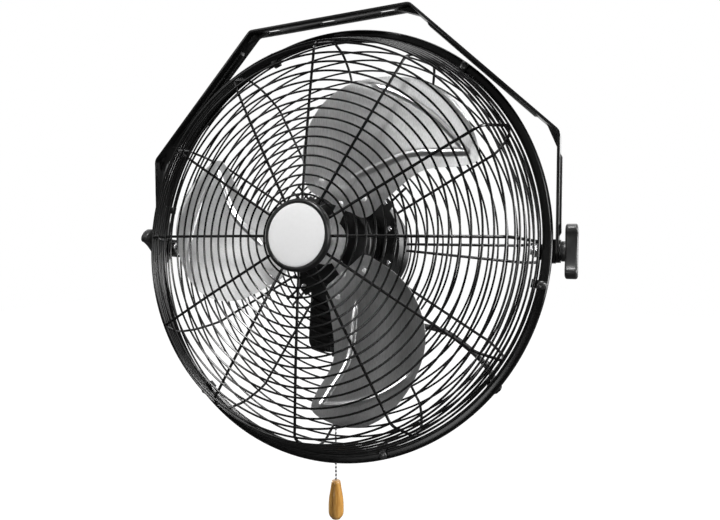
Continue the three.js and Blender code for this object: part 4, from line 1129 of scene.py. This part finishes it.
# the width of each solid's eased edges, in millimetres
EASED_EDGES = {
    "yoke_bracket": 0.5, "motor_mount_plate": 0.35, "switch_box": 0.9, "switch_box_cover": 0.6,
    "right_pivot_block": 0.8, "left_pivot_block": 0.8, "right_pivot_plate": 0.5,
    "left_pivot_plate": 0.5, "right_washer": 0.25, "left_washer": 0.25, "right_pivot_nut": 0.4,
    "left_pivot_nut": 0.4, "shaft_nut": 0.6, "lead_gland": 0.7, "lead_relief": 0.7,
    "switch_nozzle": 0.5, "hub_collar": 0.8}


@dataclass
class CarriedOver:
    """Solids that keep their shape and get eased edges or only their finish.

    Fields: nodes holds the solids, slots the material slot of each and bodies its body.
    """

    nodes: dict[str, bpy.types.Object]
    slots: dict[str, str]
    bodies: dict[str, str]

    def build(self) -> None:
        """Dress every solid that no modelled piece replaces."""
        for name, solid in self.nodes.items():
            finish = FINISHES[self.slots[name]]
            if name in EASED_EDGES:
                finish_object(f"{name}_eased", solid.data.copy(), finish, Body(self.bodies[name]),
                              (name,), 40, EASED_EDGES[name])
                continue
            solid.data.materials.clear()
            solid.data.materials.append(finish.material())
            for face in solid.data.polygons:
                face.use_smooth = True
            solid.data.set_sharp_from_angle(angle=math.radians(35))
            log.info("%s: %d faces, as in the model", name, len(solid.data.polygons))


# ---------------------------------------------------------------- studio
@dataclass(frozen=True)
class Lamp:
    """A square soft lamp: its name, its place and size in metres, and its power in watts."""

    name: str
    spot: Point
    size: float
    power: float

    def hang(self, aim: Point) -> None:
        """Hang the lamp.

        Args:
            aim: the point that it looks at.
        """
        data = bpy.data.lights.new(self.name, "AREA")
        data.size = self.size
        data.energy = self.power
        lamp = bpy.data.objects.new(self.name, data)
        lamp.location = self.spot
        lamp.rotation_euler = (Vector(aim) - Vector(self.spot)).to_track_quat("-Z", "Y").to_euler()
        bpy.context.scene.collection.objects.link(lamp)


LAMPS = (
    Lamp("key", (-1.3, -1.3, 0.9), 0.7, 3.6),
    Lamp("front", (-0.3, -1.9, -0.6), 0.45, 3.2),
    Lamp("over", (0.1, -0.75, 1.3), 0.3, 24),
    Lamp("right", (1.25, -1.5, 0.5), 0.3, 9),
    Lamp("side", (1.7, 0.2, -0.2), 0.8, 40),
    Lamp("rim", (-1.7, 0.3, 0.0), 0.8, 26),
    Lamp("top", (0.2, 0.7, 1.4), 1.4, 14),
    Lamp("back", (1.3, 2.0, 0.3), 1.2, 16))


@dataclass
class Studio:
    """Camera, floor, backdrop and light.

    Fields: the camera's place is in metres and its turn in degrees. The soft light's height_span and
    back_span are Z and Y of a direction, and height_light and back_light the light at their ends.
    """

    camera_spot: Point = (0.3104, -0.6177, -0.2685)
    camera_turn: Point = (87.348, 0.111, 23.448)
    lens: float = 27.053
    aim: Point = (0, 0, -0.3)
    floor_height: float = -1.15
    floor_half: float = 6.0
    floor_grey: float = 0.04
    soft_strength: float = 0.36
    height_span: tuple[float, float] = (-0.3, 0.9)
    height_light: tuple[float, float] = (0.04, 0.7)
    back_span: tuple[float, float] = (0.15, 0.6)
    back_light: tuple[float, float] = (0.0, 2.8)

    def camera(self) -> None:
        """Set the camera where the photograph was taken."""
        data = bpy.data.cameras.new("camera")
        data.lens = self.lens
        data.sensor_width = 36
        data.clip_start = 0.01
        eye = bpy.data.objects.new("camera", data)
        eye.location = self.camera_spot
        eye.rotation_euler = [math.radians(a) for a in self.camera_turn]
        bpy.context.scene.collection.objects.link(eye)
        bpy.context.scene.camera = eye

    def floor(self) -> None:
        """Lay a plain floor that the camera sees as white."""
        half = self.floor_half
        corners = [(x, y, self.floor_height) for x, y in ((-half, -half), (half, -half), (half, half),
                                                          (-half, half))]
        mesh = bpy.data.meshes.new("floor")
        mesh.from_pydata(corners, [], [(0, 1, 2, 3)])
        floor = bpy.data.objects.new("floor", mesh)
        bpy.context.scene.collection.objects.link(floor)
        material = bpy.data.materials.new("floor_pale")
        material.use_nodes = True
        tree = material.node_tree
        shader = tree.nodes["Principled BSDF"]
        shader.inputs["Base Color"].default_value = (self.floor_grey,) * 3 + (1,)
        shader.inputs["Roughness"].default_value = 0.9
        path = tree.nodes.new("ShaderNodeLightPath")
        tree.links.new(path.outputs["Is Camera Ray"], shader.inputs["Emission Strength"])
        shader.inputs["Emission Color"].default_value = (1, 1, 1, 1)
        mesh.materials.append(material)

    def world(self) -> None:
        """Light softly, brighter from above and behind, on a white background."""
        world = bpy.data.worlds.new("studio")
        bpy.context.scene.world = world
        world.use_nodes = True
        tree = world.node_tree
        tree.nodes.clear()
        out = tree.nodes.new("ShaderNodeOutputWorld")
        mix = tree.nodes.new("ShaderNodeMixShader")
        white = tree.nodes.new("ShaderNodeBackground")
        white.inputs["Color"].default_value = (1, 1, 1, 1)
        soft = tree.nodes.new("ShaderNodeBackground")
        soft.inputs["Strength"].default_value = self.soft_strength
        place = tree.nodes.new("ShaderNodeTexCoord")
        parts = tree.nodes.new("ShaderNodeSeparateXYZ")
        tree.links.new(place.outputs["Generated"], parts.inputs["Vector"])
        brighter = tree.nodes.new("ShaderNodeMath")
        brighter.operation = "MAXIMUM"
        rises = (("Z", "LINEAR", self.height_span, self.height_light),
                 ("Y", "SMOOTHSTEP", self.back_span, self.back_light))
        for number, (axis, kind, span, light) in enumerate(rises):
            rise = tree.nodes.new("ShaderNodeMapRange")
            rise.interpolation_type = kind
            rise.inputs["From Min"].default_value, rise.inputs["From Max"].default_value = span
            rise.inputs["To Min"].default_value, rise.inputs["To Max"].default_value = light
            tree.links.new(parts.outputs[axis], rise.inputs["Value"])
            tree.links.new(rise.outputs["Result"], brighter.inputs[number])
        tree.links.new(brighter.outputs["Value"], soft.inputs["Color"])
        path = tree.nodes.new("ShaderNodeLightPath")
        tree.links.new(path.outputs["Is Camera Ray"], mix.inputs["Fac"])
        tree.links.new(soft.outputs["Background"], mix.inputs[1])
        tree.links.new(white.outputs["Background"], mix.inputs[2])
        tree.links.new(mix.outputs["Shader"], out.inputs["Surface"])

    def build(self) -> None:
        """Set up the whole studio."""
        bpy.context.scene.view_settings.view_transform = "Standard"
        self.camera()
        self.floor()
        self.world()
        for lamp in LAMPS:
            lamp.hang(self.aim)


def main() -> None:
    """Build the dressed fan."""
    logging.basicConfig(level=logging.INFO, format="%(name)s: %(message)s")
    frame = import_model()
    record = frame["record"]
    slots = {entry["node"]: entry["material_slot"] for entry in record["subparts"]}
    bodies = {node: body for body, nodes in record["behaviour"]["bodies"].items() for node in nodes}
    assemblies = (Studio(), CarriedOver(frame["nodes"], slots, bodies), Cage(), Rotor(), Motor(),
                  PullChain(), MotorLead(), Knob("right_knob", Body.RIGHT_KNOB, 1, 0.0),
                  Knob("left_knob", Body.LEFT_KNOB, -1, math.pi / 4))
    for assembly in assemblies:
        assembly.build()
        log.info("%s done", type(assembly).__name__)


if __name__ == "__main__":
    main()
